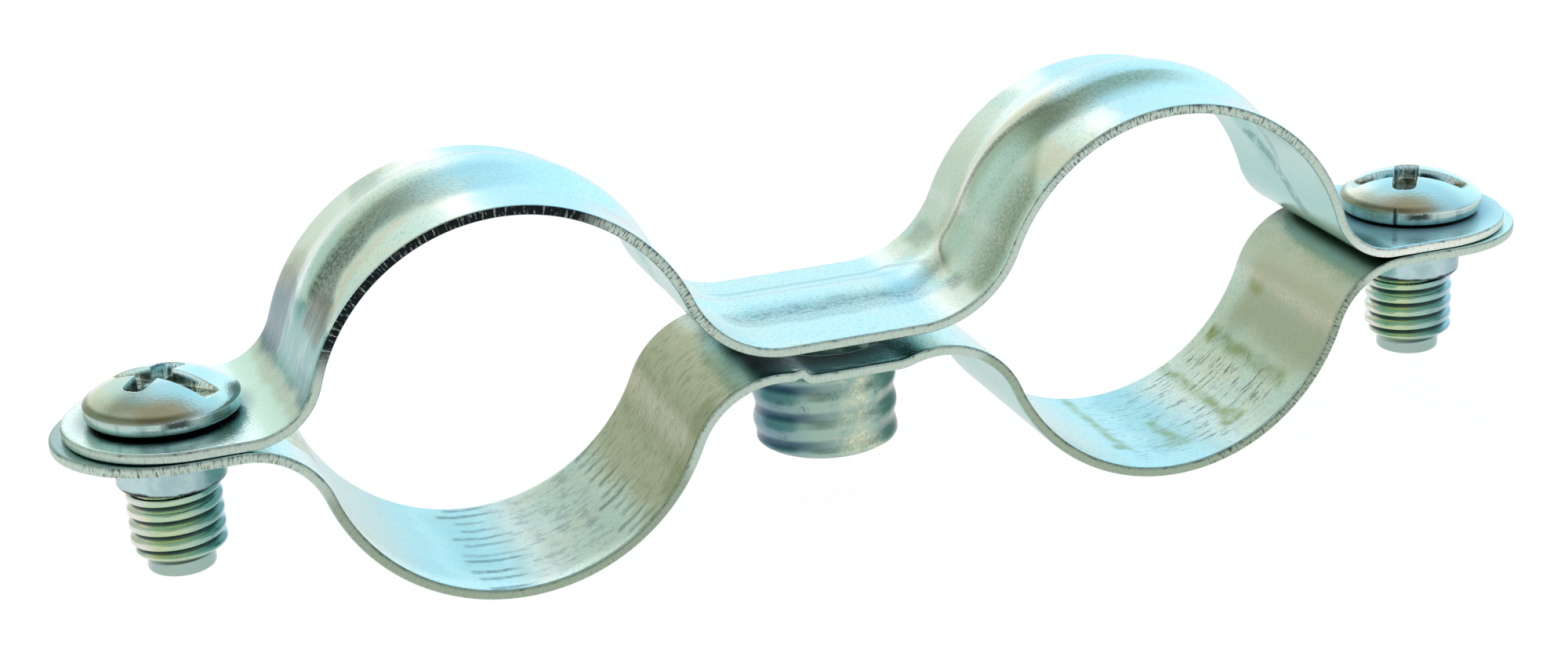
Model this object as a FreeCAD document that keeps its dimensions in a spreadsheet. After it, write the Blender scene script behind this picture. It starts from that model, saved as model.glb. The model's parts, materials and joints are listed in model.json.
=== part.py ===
"""Double pipe clip: two pressed steel straps that hold two pipes side by side, closed by two screws.

The lower strap has a saddle under each pipe, a threaded collar drawn down under each end flange and,
in the middle, a drawn socket for a threaded rod. The upper strap has an arch over each pipe and a
stiffening rib along its outside. Millimetres, +Z up, +X along the clip and +Y along the pipes. The
origin is the centre of the socket's mouth.
"""
import math
import os

import FreeCAD
import Part
import Sketcher

SHEET = "Dimensions"

DIMENSIONS = {
    # Pipes and strip
    "pipe_radius": 10.0,
    "pipe_offset": 18.46,
    "pipe_height": 6.95,
    "strip_thickness": 0.55,
    "strip_width": 11.6,
    # Heights of the strip's faces, measured from the pipe axes
    "flange_drop": 0.08,
    "flange_gap": 0.05,
    "bridge_lift": 0.15,
    "shoulder_drop": 0.68,
    "dish_drop": 1.06,
    # Bend radii, each on the hollow side of its bend
    "arch_flange_bend": 3.27,
    "arch_bridge_bend": 5.47,
    "saddle_flange_bend": 4.13,
    "shoulder_bend": 4.53,
    "dish_bend": 2.2,
    # Screw holes and rounded ends
    "left_hole": 35.2,
    "right_hole": 36.0,
    "upper_setback": 0.65,
    "clearance_radius": 2.75,
    # Stiffening rib of the upper strap
    "rib_offset": 0.7,
    "rib_height": 0.87,
    "rib_bridge_height": 0.3,
    "rib_sink": 0.3,
    "rib_bridge_bend": 5.0,
    "rib_crest_radius": 4.0,
    "rib_slope": 16.0,
    "rib_half_width": 4.6,
    # Threaded collars under the lower flanges
    "collar_bore": 2.5,
    "collar_radius": 2.8,
    "collar_depth": 2.35,
    "collar_edge": 0.3,
    # Rod socket
    "socket_bore": 3.2,
    "socket_wall": 0.46,
    "socket_flare": 0.5,
    "bead_pitch": 1.6,
    "bead_height": 0.55,
    "bead_half_length": 0.6,
    "bead_radius": 0.8,
    "mouth_edge": 0.3,
    # Screws
    "thread_radius": 2.45,
    "point_radius": 1.75,
    "point_length": 0.65,
    "point_taper": 0.75,
    "screw_length": 8.6,
    "head_radius": 3.98,
    "head_height": 2.0,
    "head_rim": 0.55,
    "head_shoulder": 0.2,
    "head_edge": 0.35,
    "head_gap": 0.3,
    "slot_width": 1.2,
    "slot_depth": 0.87,
    "wing_width": 1.3,
    "wing_reach": 2.0,
    "wing_depth": 1.4,
    "left_slot_angle": -44.0,
    "right_slot_angle": -33.0,
}

# How far the straight sides of an outline run clear of the piece that it is cut from
MARGIN = 3.0


class Size:
    """A length that carries its number and the spreadsheet expression that gives it."""

    def __init__(self, value, text):
        self.value = value
        self.text = text

    def __add__(self, other):
        return Size(self.value + other.value, f"({self.text} + {other.text})")

    def __sub__(self, other):
        return Size(self.value - other.value, f"({self.text} - {other.text})")

    def __mul__(self, factor):
        return Size(self.value * factor, f"({self.text} * {factor})")

    def __neg__(self):
        return Size(-self.value, f"(-{self.text})")


def size(alias):
    return Size(DIMENSIONS[alias], f"{SHEET}.{alias}")


def plain(value):
    return Size(value, f"{value}")


ZERO = plain(0.0)


def make_sheet(doc):
    sheet = doc.addObject("Spreadsheet::Sheet", SHEET)
    for row, (alias, value) in enumerate(DIMENSIONS.items(), start=1):
        sheet.set(f"A{row}", alias)
        sheet.set(f"B{row}", str(value))
        sheet.setAlias(f"B{row}", alias)
    doc.recompute()


def new_body(doc, label):
    body = doc.addObject("PartDesign::Body", label)
    body.Label = label
    return body


def origin_plane(body, role):
    return next(item for item in body.Origin.OriginFeatures if item.Role == role)


def new_sketch(body, name, role, shift_axis=None, shift=None):
    """A sketch on one of the body's own planes, moved along one axis of the sketch."""
    sketch = body.newObject("Sketcher::SketchObject", name)
    sketch.AttachmentSupport = (origin_plane(body, role), "")
    sketch.MapMode = "FlatFace"
    if shift_axis:
        sketch.setExpression(f"AttachmentOffset.Base.{shift_axis}", shift.text)
    return sketch


class Path:
    """Lines and arcs in a sketch, joined end to end, that a pen draws from a start point."""

    START = 1
    END = 2
    CENTRE = 3
    ORIGIN = (-1, 1)
    X_AXIS = -1
    Y_AXIS = -2

    def __init__(self, sketch, x, y):
        self.sketch = sketch
        self.pen = (x, y)
        self.tail = None
        self.head = None

    def _add(self, shape, first, last, kind):
        geometry = self.sketch.addGeometry(shape, False)
        if self.tail is None:
            self.head = (geometry, first)
        else:
            self.sketch.addConstraint(Sketcher.Constraint(kind, *self.tail, geometry, first))
        self.tail = (geometry, last)
        return geometry

    def line(self, x, y, kind="Coincident"):
        shape = Part.LineSegment(FreeCAD.Vector(*self.pen, 0.0), FreeCAD.Vector(x, y, 0.0))
        self.pen = (x, y)
        return self._add(shape, self.START, self.END, kind)

    def arc(self, centre, x, y, clockwise, kind="Tangent"):
        """An arc about a centre from the pen to the point (x, y)."""
        first = math.atan2(self.pen[1] - centre[1], self.pen[0] - centre[0])
        last = math.atan2(y - centre[1], x - centre[0])
        radius = math.hypot(x - centre[0], y - centre[1])
        circle = Part.Circle(FreeCAD.Vector(*centre, 0.0), FreeCAD.Vector(0, 0, 1), radius)
        self.pen = (x, y)
        if clockwise:
            return self._add(Part.ArcOfCircle(circle, last, first), self.END, self.START, kind)
        return self._add(Part.ArcOfCircle(circle, first, last), self.START, self.END, kind)

    def close(self):
        self.sketch.addConstraint(Sketcher.Constraint("Coincident", *self.tail, *self.head))

    def level(self, geometry):
        self.sketch.addConstraint(Sketcher.Constraint("Horizontal", geometry))

    def bind(self, constraint, length):
        """Adds a dimension to the sketch and binds it to the spreadsheet."""
        index = self.sketch.addConstraint(constraint)
        self.sketch.setExpression(f"Constraints[{index}]", length.text)

    def radius(self, geometry, length):
        self.bind(Sketcher.Constraint("Radius", geometry, length.value), length)

    def height(self, geometry, end, length):
        """Dimensions the height of one point above the sketch's origin."""
        if length is ZERO:
            self.sketch.addConstraint(Sketcher.Constraint("PointOnObject", geometry, end, self.X_AXIS))
        else:
            self.bind(Sketcher.Constraint("DistanceY", *self.ORIGIN, geometry, end, length.value), length)

    def reach(self, geometry, end, length):
        """Dimensions how far one point lies to the right of the sketch's origin."""
        if length is ZERO:
            self.sketch.addConstraint(Sketcher.Constraint("PointOnObject", geometry, end, self.Y_AXIS))
        else:
            self.bind(Sketcher.Constraint("DistanceX", *self.ORIGIN, geometry, end, length.value), length)

    def place(self, geometry, end, x, y):
        self.reach(geometry, end, x)
        self.height(geometry, end, y)


def polygon(sketch, corners):
    """A closed outline of straight lines, with every corner dimensioned."""
    path = Path(sketch, corners[0][0].value, corners[0][1].value)
    for x, y in corners[1:] + corners[:1]:
        path.place(path.line(x.value, y.value), Path.END, x, y)
    path.close()


def touch(centre, radius, other, other_radius):
    """The point where two circles that lie outside each other touch."""
    share = radius / (radius + other_radius)
    return [a + share * (b - a) for a, b in zip(centre, other)]


def beside(centre, reach, height, side):
    """The point at a given height and distance from a centre, on its right (1) or its left (-1)."""
    return centre[0] + side * math.sqrt(reach ** 2 - (height - centre[1]) ** 2), height


def strap_outline(body, name, up, faces, base):
    """Half of one face of a strap, seen along the pipes and closed by straight lines.

    The face runs from the middle of the clip along the bridge, round the bridge bend, over the pipe,
    round the flange bend and along the flange. up is 1 for arches and -1 for saddles, and base is the
    height of the closing line.
    """
    sketch = new_sketch(body, name, "XZ_Plane")
    hub = (size("pipe_offset").value, size("pipe_height").value)
    over = faces["over_pipe"]
    bridge_bend = faces["bridge_bend"]
    flange_bend = faces["flange_bend"]
    end = size("right_hole") + size("strip_width")
    bridge_hub_height = faces["bridge"] + bridge_bend * up
    flange_hub_height = faces["flange"] + flange_bend * up
    bridge_hub = beside(hub, over.value + bridge_bend.value, bridge_hub_height.value, -1)
    flange_hub = beside(hub, over.value + flange_bend.value, flange_hub_height.value, 1)
    middle = faces.get("dish", faces["bridge"])

    path = Path(sketch, 0.0, middle.value)
    if "dish" in faces:
        dish_bend = faces["dish_bend"]
        dish_reach = bridge_bend.value + dish_bend.value
        dish_hub = beside(bridge_hub, dish_reach, middle.value - up * dish_bend.value, -1)
        bridge = path.line(dish_hub[0], middle.value)
        dish_end = touch(dish_hub, dish_bend.value, bridge_hub, bridge_bend.value)
        path.radius(path.arc(dish_hub, *dish_end, up > 0), dish_bend)
    else:
        bridge = path.line(bridge_hub[0], middle.value)
    inner = path.arc(bridge_hub, *touch(bridge_hub, bridge_bend.value, hub, over.value), up < 0)
    round_pipe = path.arc(hub, *touch(hub, over.value, flange_hub, flange_bend.value), up > 0)
    outer = path.arc(flange_hub, flange_hub[0], faces["flange"].value, up < 0)
    flange = path.line(end.value, faces["flange"].value, "Tangent")
    path.line(end.value, base.value)
    closing = path.line(0.0, base.value)
    path.line(0.0, middle.value)
    path.close()

    path.radius(inner, bridge_bend)
    path.radius(round_pipe, over)
    path.radius(outer, flange_bend)
    path.place(round_pipe, Path.CENTRE, size("pipe_offset"), size("pipe_height"))
    path.place(bridge, Path.START, ZERO, middle)
    if "dish" in faces:
        path.height(inner, Path.CENTRE, bridge_hub_height)
    path.height(outer, Path.CENTRE, flange_hub_height)
    path.reach(flange, Path.END, end)
    path.level(bridge)
    path.level(flange)
    path.place(closing, Path.START, end, base)
    path.place(closing, Path.END, ZERO, base)
    return sketch


def pad_across(body, sketch, width):
    pad = body.newObject("PartDesign::Pad", f"{sketch.Name}_pad")
    pad.Profile = sketch
    pad.SideType = "Symmetric"
    pad.setExpression("Length", width.text)
    return pad


def cut_through(body, sketch):
    pocket = body.newObject("PartDesign::Pocket", f"{sketch.Name}_cut")
    pocket.Profile = sketch
    pocket.Type = "ThroughAll"
    pocket.SideType = "Symmetric"
    return pocket


def sweep_rib(body, depth):
    """Sweeps the rib's section along its crest, at a given depth under the rib's outside."""
    spine = rib_spine(body)
    pipe = body.newObject("PartDesign::AdditivePipe", "rib_sweep")
    pipe.Profile = rib_section(body, depth)
    pipe.Spine = (spine, [""])
    pipe.Mode = "Standard"
    return pipe


def revolve(body, sketch):
    """Turns a half section about the sketch's own upright axis."""
    turned = body.newObject("PartDesign::Revolution", f"{sketch.Name}_turned")
    turned.Profile = sketch
    turned.ReferenceAxis = (sketch, ["V_Axis"])
    turned.Angle = 360.0
    return turned


def mirror(body, features):
    mirrored = body.newObject("PartDesign::Mirrored", "other_half")
    mirrored.Originals = features
    mirrored.MirrorPlane = (origin_plane(body, "YZ_Plane"), [""])
    body.Tip = mirrored
    return mirrored


def circle(sketch, x, radius):
    """A circle on the clip's centre line."""
    shape = Part.Circle(FreeCAD.Vector(x.value, 0.0, 0.0), FreeCAD.Vector(0, 0, 1), radius.value)
    geometry = sketch.addGeometry(shape, False)
    pen = Path(sketch, 0.0, 0.0)
    pen.place(geometry, Path.CENTRE, x, ZERO)
    pen.radius(geometry, radius)


def round_ends(body, left, right):
    """Cuts both ends of a strip to half circles about the given distances from the middle."""
    sketch = new_sketch(body, "rounded_ends", "XY_Plane")
    half = size("strip_width") * 0.5
    far = size("right_hole") + size("strip_width") + plain(MARGIN)
    wide = half + plain(MARGIN)
    polygon(sketch, [(-far, -wide), (far, -wide), (far, wide), (-far, wide)])
    path = Path(sketch, -left.value, -half.value)
    path.line(right.value, -half.value)
    right_nose = path.arc((right.value, 0.0), right.value, half.value, False)
    path.line(-left.value, half.value, "Tangent")
    left_nose = path.arc((-left.value, 0.0), -left.value, -half.value, False)
    sketch.addConstraint(Sketcher.Constraint("Tangent", *path.tail, *path.head))
    path.place(right_nose, Path.CENTRE, right, ZERO)
    path.place(left_nose, Path.CENTRE, -left, ZERO)
    path.radius(right_nose, half)
    return cut_through(body, sketch)


def screw_holes(body, radius):
    sketch = new_sketch(body, "screw_holes", "XY_Plane")
    circle(sketch, -size("left_hole"), radius)
    circle(sketch, size("right_hole"), radius)
    return cut_through(body, sketch)


def rib_section(body, depth):
    """A rounded V whose crest lies at a given depth under the rib's own crest, closed by a flat chord."""
    sketch = new_sketch(body, "rib_section", "YZ_Plane")
    crest = size("pipe_height") + size("bridge_lift") + size("strip_thickness") + size("rib_bridge_height")
    crest = crest - depth
    crest_radius = size("rib_crest_radius") - depth
    middle = size("rib_offset")
    half = size("rib_half_width")
    slope = math.radians(DIMENSIONS["rib_slope"])
    hub = (middle.value, crest.value - crest_radius.value)
    shoulder = crest_radius.value * math.sin(slope)
    shoulder_height = hub[1] + crest_radius.value * math.cos(slope)
    foot = shoulder_height - (half.value - shoulder) * math.tan(slope)

    path = Path(sketch, hub[0] - half.value, foot)
    left = path.line(hub[0] - shoulder, shoulder_height)
    top = path.arc(hub, hub[0] + shoulder, shoulder_height, True)
    right = path.line(hub[0] + half.value, foot, "Tangent")
    chord = path.line(hub[0] - half.value, foot)
    path.close()
    path.place(top, Path.CENTRE, middle, crest - crest_radius)
    path.radius(top, crest_radius)
    path.reach(left, Path.START, middle - half)
    path.reach(right, Path.END, middle + half)
    path.level(chord)
    tilt = Size(slope, f"{SHEET}.rib_slope * 1deg")
    path.bind(Sketcher.Constraint("Angle", Path.X_AXIS, Path.START, left, Path.START, slope), tilt)
    return sketch


def rib_spine(body):
    """The rib's crest: level on the bridge, over the pipe, then sinking into the strip's outer flank."""
    sketch = new_sketch(body, "rib_spine", "XZ_Plane")
    level = size("pipe_height") + size("bridge_lift") + size("strip_thickness") + size("rib_bridge_height")
    bend = size("rib_bridge_bend")
    over = size("pipe_radius") + size("strip_thickness") - size("rib_sink")
    hub_height = size("pipe_height") + size("rib_height") + size("rib_sink")
    hub = (size("pipe_offset").value, hub_height.value)
    bend_hub = beside(hub, over.value + bend.value, level.value + bend.value, -1)
    path = Path(sketch, 0.0, level.value)
    bridge = path.line(bend_hub[0], level.value)
    inner = path.arc(bend_hub, *touch(bend_hub, bend.value, hub, over.value), False)
    crest = path.arc(hub, hub[0] + over.value, hub[1], True)
    path.place(bridge, Path.START, ZERO, level)
    path.level(bridge)
    path.radius(inner, bend)
    path.radius(crest, over)
    path.place(crest, Path.CENTRE, size("pipe_offset"), hub_height)
    path.height(crest, Path.START, hub_height)
    return sketch


def make_upper_strap(doc):
    """A strip bent over both pipes, with a rib pressed up along it that keeps the strip's thickness."""
    body = new_body(doc, "upper_strap")
    thickness = size("strip_thickness")
    axis = size("pipe_height")
    under = {
        "over_pipe": size("pipe_radius"),
        "bridge": axis + size("bridge_lift"),
        "bridge_bend": size("arch_bridge_bend") + thickness,
        "flange": axis - size("flange_drop") + size("flange_gap"),
        "flange_bend": size("arch_flange_bend") + thickness,
    }
    outside = {
        "over_pipe": under["over_pipe"] + thickness,
        "bridge": under["bridge"] + thickness,
        "bridge_bend": size("arch_bridge_bend"),
        "flange": under["flange"] + thickness,
        "flange_bend": size("arch_flange_bend"),
    }
    base = axis - plain(MARGIN)
    width = size("strip_width")
    outer = pad_across(body, strap_outline(body, "outside_face", 1, outside, base), width)
    mirror(body, [outer, sweep_rib(body, ZERO)])

    core = new_body(doc, "space_under_upper_strap")
    inner_outline = strap_outline(core, "pipe_face", 1, under, base - plain(MARGIN))
    inner = pad_across(core, inner_outline, width + plain(MARGIN))
    mirror(core, [inner, sweep_rib(core, thickness)])
    hollowed = body.newObject("PartDesign::Boolean", "hollowed")
    hollowed.Type = "Cut"
    hollowed.addObjects([core])

    setback = size("upper_setback")
    round_ends(body, size("left_hole") - setback, size("right_hole") - setback)
    body.Tip = screw_holes(body, size("clearance_radius"))
    return body


def add_collar(body, name, x, flange_face):
    """The neck drawn down round one screw hole, with a flared root and a blunt lower edge."""
    sketch = new_sketch(body, name, "XZ_Plane", "x", x)
    outside = size("collar_radius")
    edge = size("collar_edge")
    bottom = flange_face - size("collar_depth")
    polygon(sketch, [
        (ZERO, flange_face + size("strip_thickness") * 0.5),
        (outside + edge, flange_face + size("strip_thickness") * 0.5),
        (outside + edge, flange_face),
        (outside, flange_face - edge * 2.0),
        (outside, bottom + edge),
        (outside - edge * 0.5, bottom),
        (ZERO, bottom),
    ])
    return revolve(body, sketch)


def add_socket(body, bridge_face):
    """The cup drawn down from the bridge, open at the bottom, with two rolled beads on its outside."""
    sketch = new_sketch(body, "socket", "XZ_Plane")
    bore = size("socket_bore")
    wall = bore + size("socket_wall")
    flare = size("socket_flare")
    bead = size("bead_radius")
    half = size("bead_half_length")
    edge = size("mouth_edge")
    root = bridge_face + size("strip_thickness") * 0.5
    bead_hub = wall.value - math.sqrt(bead.value ** 2 - half.value ** 2)

    path = Path(sketch, bore.value, root.value)
    corners = [(wall + flare, root), (wall + flare, bridge_face), (wall, bridge_face - flare)]
    for x, y in corners:
        path.place(path.line(x.value, y.value), Path.END, x, y)
    for turn in (1, 0):
        middle = size("bead_height") + size("bead_pitch") * float(turn)
        above = middle + half
        below = middle - half
        path.place(path.line(wall.value, above.value), Path.END, wall, above)
        bulge = path.arc((bead_hub, middle.value), wall.value, below.value, True, "Coincident")
        path.place(bulge, Path.START, wall, below)
        path.radius(bulge, bead)
    path.place(path.line(wall.value - edge.value, 0.0), Path.END, wall - edge, ZERO)
    path.place(path.line(bore.value, 0.0), Path.END, bore, ZERO)
    path.place(path.line(bore.value, root.value), Path.END, bore, root)
    path.close()
    return revolve(body, sketch)


def make_lower_strap(doc):
    """A strip bent under both pipes, with the collars and the socket drawn down out of it."""
    body = new_body(doc, "lower_strap")
    thickness = size("strip_thickness")
    axis = size("pipe_height")
    upper = {
        "over_pipe": size("pipe_radius"),
        "bridge": axis - size("shoulder_drop"),
        "bridge_bend": size("shoulder_bend") + thickness,
        "dish": axis - size("dish_drop"),
        "dish_bend": size("dish_bend"),
        "flange": axis - size("flange_drop"),
        "flange_bend": size("saddle_flange_bend") + thickness,
    }
    under = {
        "over_pipe": upper["over_pipe"] + thickness,
        "bridge": upper["bridge"] - thickness,
        "bridge_bend": size("shoulder_bend"),
        "dish": upper["dish"] - thickness,
        "dish_bend": size("dish_bend") + thickness,
        "flange": upper["flange"] - thickness,
        "flange_bend": size("saddle_flange_bend"),
    }
    top = axis + plain(MARGIN)
    outer = pad_across(body, strap_outline(body, "outside_face", -1, under, top), size("strip_width"))
    hollow = cut_through(body, strap_outline(body, "pipe_face", -1, upper, top + plain(MARGIN)))
    mirror(body, [outer, hollow])
    round_ends(body, size("left_hole"), size("right_hole"))
    add_collar(body, "left_collar", -size("left_hole"), under["flange"])
    add_collar(body, "right_collar", size("right_hole"), under["flange"])
    screw_holes(body, size("collar_bore"))
    bore = new_sketch(body, "socket_bore", "XY_Plane")
    circle(bore, ZERO, size("socket_bore"))
    cut_through(body, bore)
    body.Tip = add_socket(body, under["dish"])
    return body


def add_slot(body, name, half_length, half_width, depth):
    """A straight slot sunk from the top of a screw head, across the head's own X axis."""
    sketch = new_sketch(body, name, "XY_Plane", "z", size("head_height"))
    polygon(sketch, [
        (-half_length, -half_width),
        (half_length, -half_width),
        (half_length, half_width),
        (-half_length, half_width),
    ])
    pocket = body.newObject("PartDesign::Pocket", f"{name}_cut")
    pocket.Profile = sketch
    pocket.setExpression("Length", depth.text)
    return pocket


def make_screw(doc, label, x, slot_angle):
    """A screw with a low domed pan head, a full slot crossed by short wings, and a thread at its crests.

    The head's bevelled shoulder joins the dome to a straight rim, and the screw stands a little proud
    of its flange, as it does with no pipe to clamp.
    """
    body = new_body(doc, label)
    sketch = new_sketch(body, "half_section", "XZ_Plane")
    head = size("head_radius")
    rim = size("head_rim")
    edge = size("head_edge")
    crown = size("head_height")
    thread = size("thread_radius")
    tip = -size("screw_length")
    shoulder = tip + size("point_length")
    cap_radius = head - size("head_shoulder")
    cap_foot = rim + size("head_shoulder")
    rise = crown.value - cap_foot.value
    dome = (cap_radius.value ** 2 + rise ** 2) / (2.0 * rise)

    path = Path(sketch, 0.0, crown.value)
    cap = path.arc((0.0, crown.value - dome), cap_radius.value, cap_foot.value, True)
    path.place(cap, Path.START, cap_radius, cap_foot)
    path.reach(cap, Path.CENTRE, ZERO)
    corners = [
        (head, rim),
        (head, edge),
        (head - edge, ZERO),
        (thread, ZERO),
        (thread, shoulder + size("point_taper")),
        (size("point_radius"), shoulder),
        (size("point_radius"), tip),
        (ZERO, tip),
        (ZERO, crown),
    ]
    for corner_x, corner_y in corners:
        path.place(path.line(corner_x.value, corner_y.value), Path.END, corner_x, corner_y)
    path.close()
    revolve(body, sketch)
    doc.recompute()

    add_slot(body, "slot", head + edge, size("slot_width") * 0.5, size("slot_depth"))
    body.Tip = add_slot(body, "wings", size("wing_width") * 0.5, size("wing_reach"), size("wing_depth"))
    seat = size("pipe_height") - size("flange_drop") + size("flange_gap")
    seat = seat + size("strip_thickness") + size("head_gap")
    body.Placement.Rotation = FreeCAD.Rotation(FreeCAD.Vector(0, 0, 1), DIMENSIONS[slot_angle])
    body.setExpression("Placement.Base.x", x.text)
    body.setExpression("Placement.Base.z", seat.text)
    body.setExpression("Placement.Rotation.Angle", f"{SHEET}.{slot_angle} * 1deg")
    return body


def check_document(doc):
    for item in doc.Objects:
        if "Invalid" in item.State or "Error" in item.State:
            raise RuntimeError(f"{item.Label} did not build: {item.State}")


def main():
    doc = FreeCAD.newDocument("double_pipe_clip")
    make_sheet(doc)
    pieces = [
        make_lower_strap(doc),
        make_upper_strap(doc),
        make_screw(doc, "screw_left", -size("left_hole"), "left_slot_angle"),
        make_screw(doc, "screw_right", size("right_hole"), "right_slot_angle"),
    ]
    doc.recompute()
    check_document(doc)
    os.makedirs("parts", exist_ok=True)
    for piece in pieces:
        shape = piece.Shape
        if not shape.isValid() or len(shape.Solids) != 1:
            raise RuntimeError(f"{piece.Label} is not one valid solid")
        shape.exportStep(f"parts/{piece.Label}.step")
        print(piece.Label, round(shape.Volume, 2), shape.BoundBox)


main()
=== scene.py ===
"""Looks of a double pipe clip: two pressed, zinc-plated straps closed round two pipes by two screws.

Shapes are worked out in millimetres and put into the meshes in metres. Each strap is a flat blank,
measured along the strip from the clip's middle, across it and up through its thickness, and carried
along a middle line of straight runs and arcs. +X runs along the clip, +Y along the pipes, +Z up.
"""
import json
import math

import bmesh
import bpy
import numpy as np
from mathutils import Matrix, Vector


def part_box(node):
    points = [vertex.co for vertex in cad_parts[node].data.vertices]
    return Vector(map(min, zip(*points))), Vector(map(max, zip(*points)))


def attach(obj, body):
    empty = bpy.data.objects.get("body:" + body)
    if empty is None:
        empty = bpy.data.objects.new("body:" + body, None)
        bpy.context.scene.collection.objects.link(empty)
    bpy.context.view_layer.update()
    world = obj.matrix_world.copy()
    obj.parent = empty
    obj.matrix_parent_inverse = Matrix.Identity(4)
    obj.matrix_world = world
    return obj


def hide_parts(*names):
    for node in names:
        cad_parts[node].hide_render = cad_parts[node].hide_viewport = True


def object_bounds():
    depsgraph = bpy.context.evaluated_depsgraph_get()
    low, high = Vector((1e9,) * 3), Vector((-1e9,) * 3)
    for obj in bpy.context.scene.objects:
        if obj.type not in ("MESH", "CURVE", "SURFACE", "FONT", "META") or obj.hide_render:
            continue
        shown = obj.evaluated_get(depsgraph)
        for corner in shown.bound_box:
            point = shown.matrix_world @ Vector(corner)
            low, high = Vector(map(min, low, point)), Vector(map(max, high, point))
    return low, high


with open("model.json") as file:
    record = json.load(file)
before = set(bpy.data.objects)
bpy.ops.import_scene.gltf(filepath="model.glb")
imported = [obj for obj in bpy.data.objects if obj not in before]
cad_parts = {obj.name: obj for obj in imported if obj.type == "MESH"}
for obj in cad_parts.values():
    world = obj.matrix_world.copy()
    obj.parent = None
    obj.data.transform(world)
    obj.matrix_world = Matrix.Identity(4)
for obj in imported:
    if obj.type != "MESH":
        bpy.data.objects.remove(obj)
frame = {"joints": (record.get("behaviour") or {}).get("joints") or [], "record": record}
cad_low, cad_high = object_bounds()

MM = 0.001

# Places that the frame gives, in millimetres
MOUNTS = {mount["name"]: mount for mount in frame["record"]["mounts"]}
JOINTS = {joint["name"]: joint for joint in frame["joints"]}
PIPE_X = MOUNTS["right_pipe_seat"]["pos_m"][0] / MM
PIPE_Z = MOUNTS["right_pipe_seat"]["pos_m"][2] / MM
PIPE_RADIUS = MOUNTS["right_pipe_seat"]["dims"]["r_mm"]
SOCKET_BORE = MOUNTS["rod_socket"]["dims"]["r_mm"]
SCREW_X = {side: JOINTS[f"screw_{side}_turn"]["pos_m"][0] / MM for side in ("left", "right")}
HALF_WIDTH = cad_high.y / MM
FLOOR_Z = cad_low.z / MM

# Strip and its bends; a bend's radius is on its hollow side
THICK = 0.55
FLANGE_DROP = 0.08
FLANGE_GAP = 0.05
BRIDGE_LIFT = 0.15
SHOULDER_DROP = 0.68
DISH_DROP = 1.06
ARCH_FLANGE_BEND = 3.27
ARCH_BRIDGE_BEND = 5.47
SADDLE_FLANGE_BEND = 4.13
SHOULDER_BEND = 4.53
DISH_BEND = 2.2
FLANGE_RUN = 12.0
ROLLED_EDGE = 0.13

# Rib of the upper strap
RIB_OFFSET = 0.7
RIB_CLEAR = 0.015
RIB_HEIGHT = cad_high.z / MM - PIPE_Z - PIPE_RADIUS - THICK - RIB_CLEAR
RIB_BRIDGE_HEIGHT = 0.42
RIB_SINK = 0.3
RIB_BRIDGE_BEND = 5.0
RIB_CREST = 4.0
RIB_SLOPE = math.radians(16.0)
RIB_FOOT = 0.11
RIB_BLEND = 1.6

# Holes, collars and socket
CLEARANCE = 2.75
COLLAR_BORE = 2.5
COLLAR_WALL = 2.8
COLLAR_ROOT = 0.4
COLLAR_BOTTOM = 3.97
COLLAR_DRAFT = 0.06
COLLAR_DRAFT_HEIGHT = 2.0
SOCKET_WALL = 3.66
SOCKET_ROOT = 0.5
SOCKET_PITCH = 1.6
SOCKET_PHASE = 0.55
SOCKET_SWELL = 0.1
SOCKET_RIPPLE = 0.16
SOCKET_MOUTH_ROLL = 0.3
SOCKET_BOTTOM = 0.0
NECK_RUN_IN = 0.7
NECK_LIP = 0.05
NECK_LIP_FADE = 0.25

# Torn lip on the lower strap's near edge
BURR_PLACE = -3.2
BURR_WIDTH = 0.32
BURR_HEIGHT = 0.24
BURR_REACH = 0.75
BURR_FADE = 0.7

# Screws
HEAD_RADIUS = 3.98
HEAD_HEIGHT = 2.0
HEAD_RIM = 0.62
HEAD_SHOULDER = 0.2
HEAD_EDGE = 0.45
HEAD_FOOT = -0.2
HEAD_GAP = 0.3
SCREW_SEAT = PIPE_Z - FLANGE_DROP + FLANGE_GAP + THICK + HEAD_GAP
NICK_TURN = math.radians(227.2)
NICK_DEPTH = {"left": 0.0, "right": 0.12}
NICK_WIDTH = 0.02
NICK_FADE = 0.4
SLOT_HALF = 0.6
SLOT_DEPTH = 0.87
WING_HALF = 0.65
WING_REACH = 2.0
WING_DEPTH = 1.4
WING_RISE = 0.4
WING_CORNER = 0.45
RECESS_WALL = 0.1
SLOT_ANGLE = {"left": math.radians(-44.0), "right": math.radians(-33.0)}
RECESS_SHIFT = {"left": (-0.25, 0.1), "right": (-0.4, -0.15)}
THREAD_CREST = 2.45
THREAD_ROOT = 2.13
THREAD_PITCH = 0.8
THREAD_BREADTH = 2.2
THREAD_START = 0.6
POINT_RADIUS = 1.75
POINT_LENGTH = 0.65
POINT_TAPER = 0.75
POINT_STEP = 0.05
POINT_EDGE = 0.22
POINT_FLAT = 1.0
POINT_GROOVE = 0.3
SCREW_LENGTH = 8.6

# Camera
CAMERA_AZIMUTH = math.radians(-18.4722)
CAMERA_ELEVATION = math.radians(20.0725)
CAMERA_ROLL = math.radians(-2.9056)
CAMERA_DISTANCE = 164.1258
CAMERA_SHIFT_RIGHT = 1.9684
CAMERA_SHIFT_UP = 0.7341
IMAGE_WIDTH = 2000.0
FOCAL_PIXELS = 3888.93
SENSOR_WIDTH = 36.0

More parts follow.
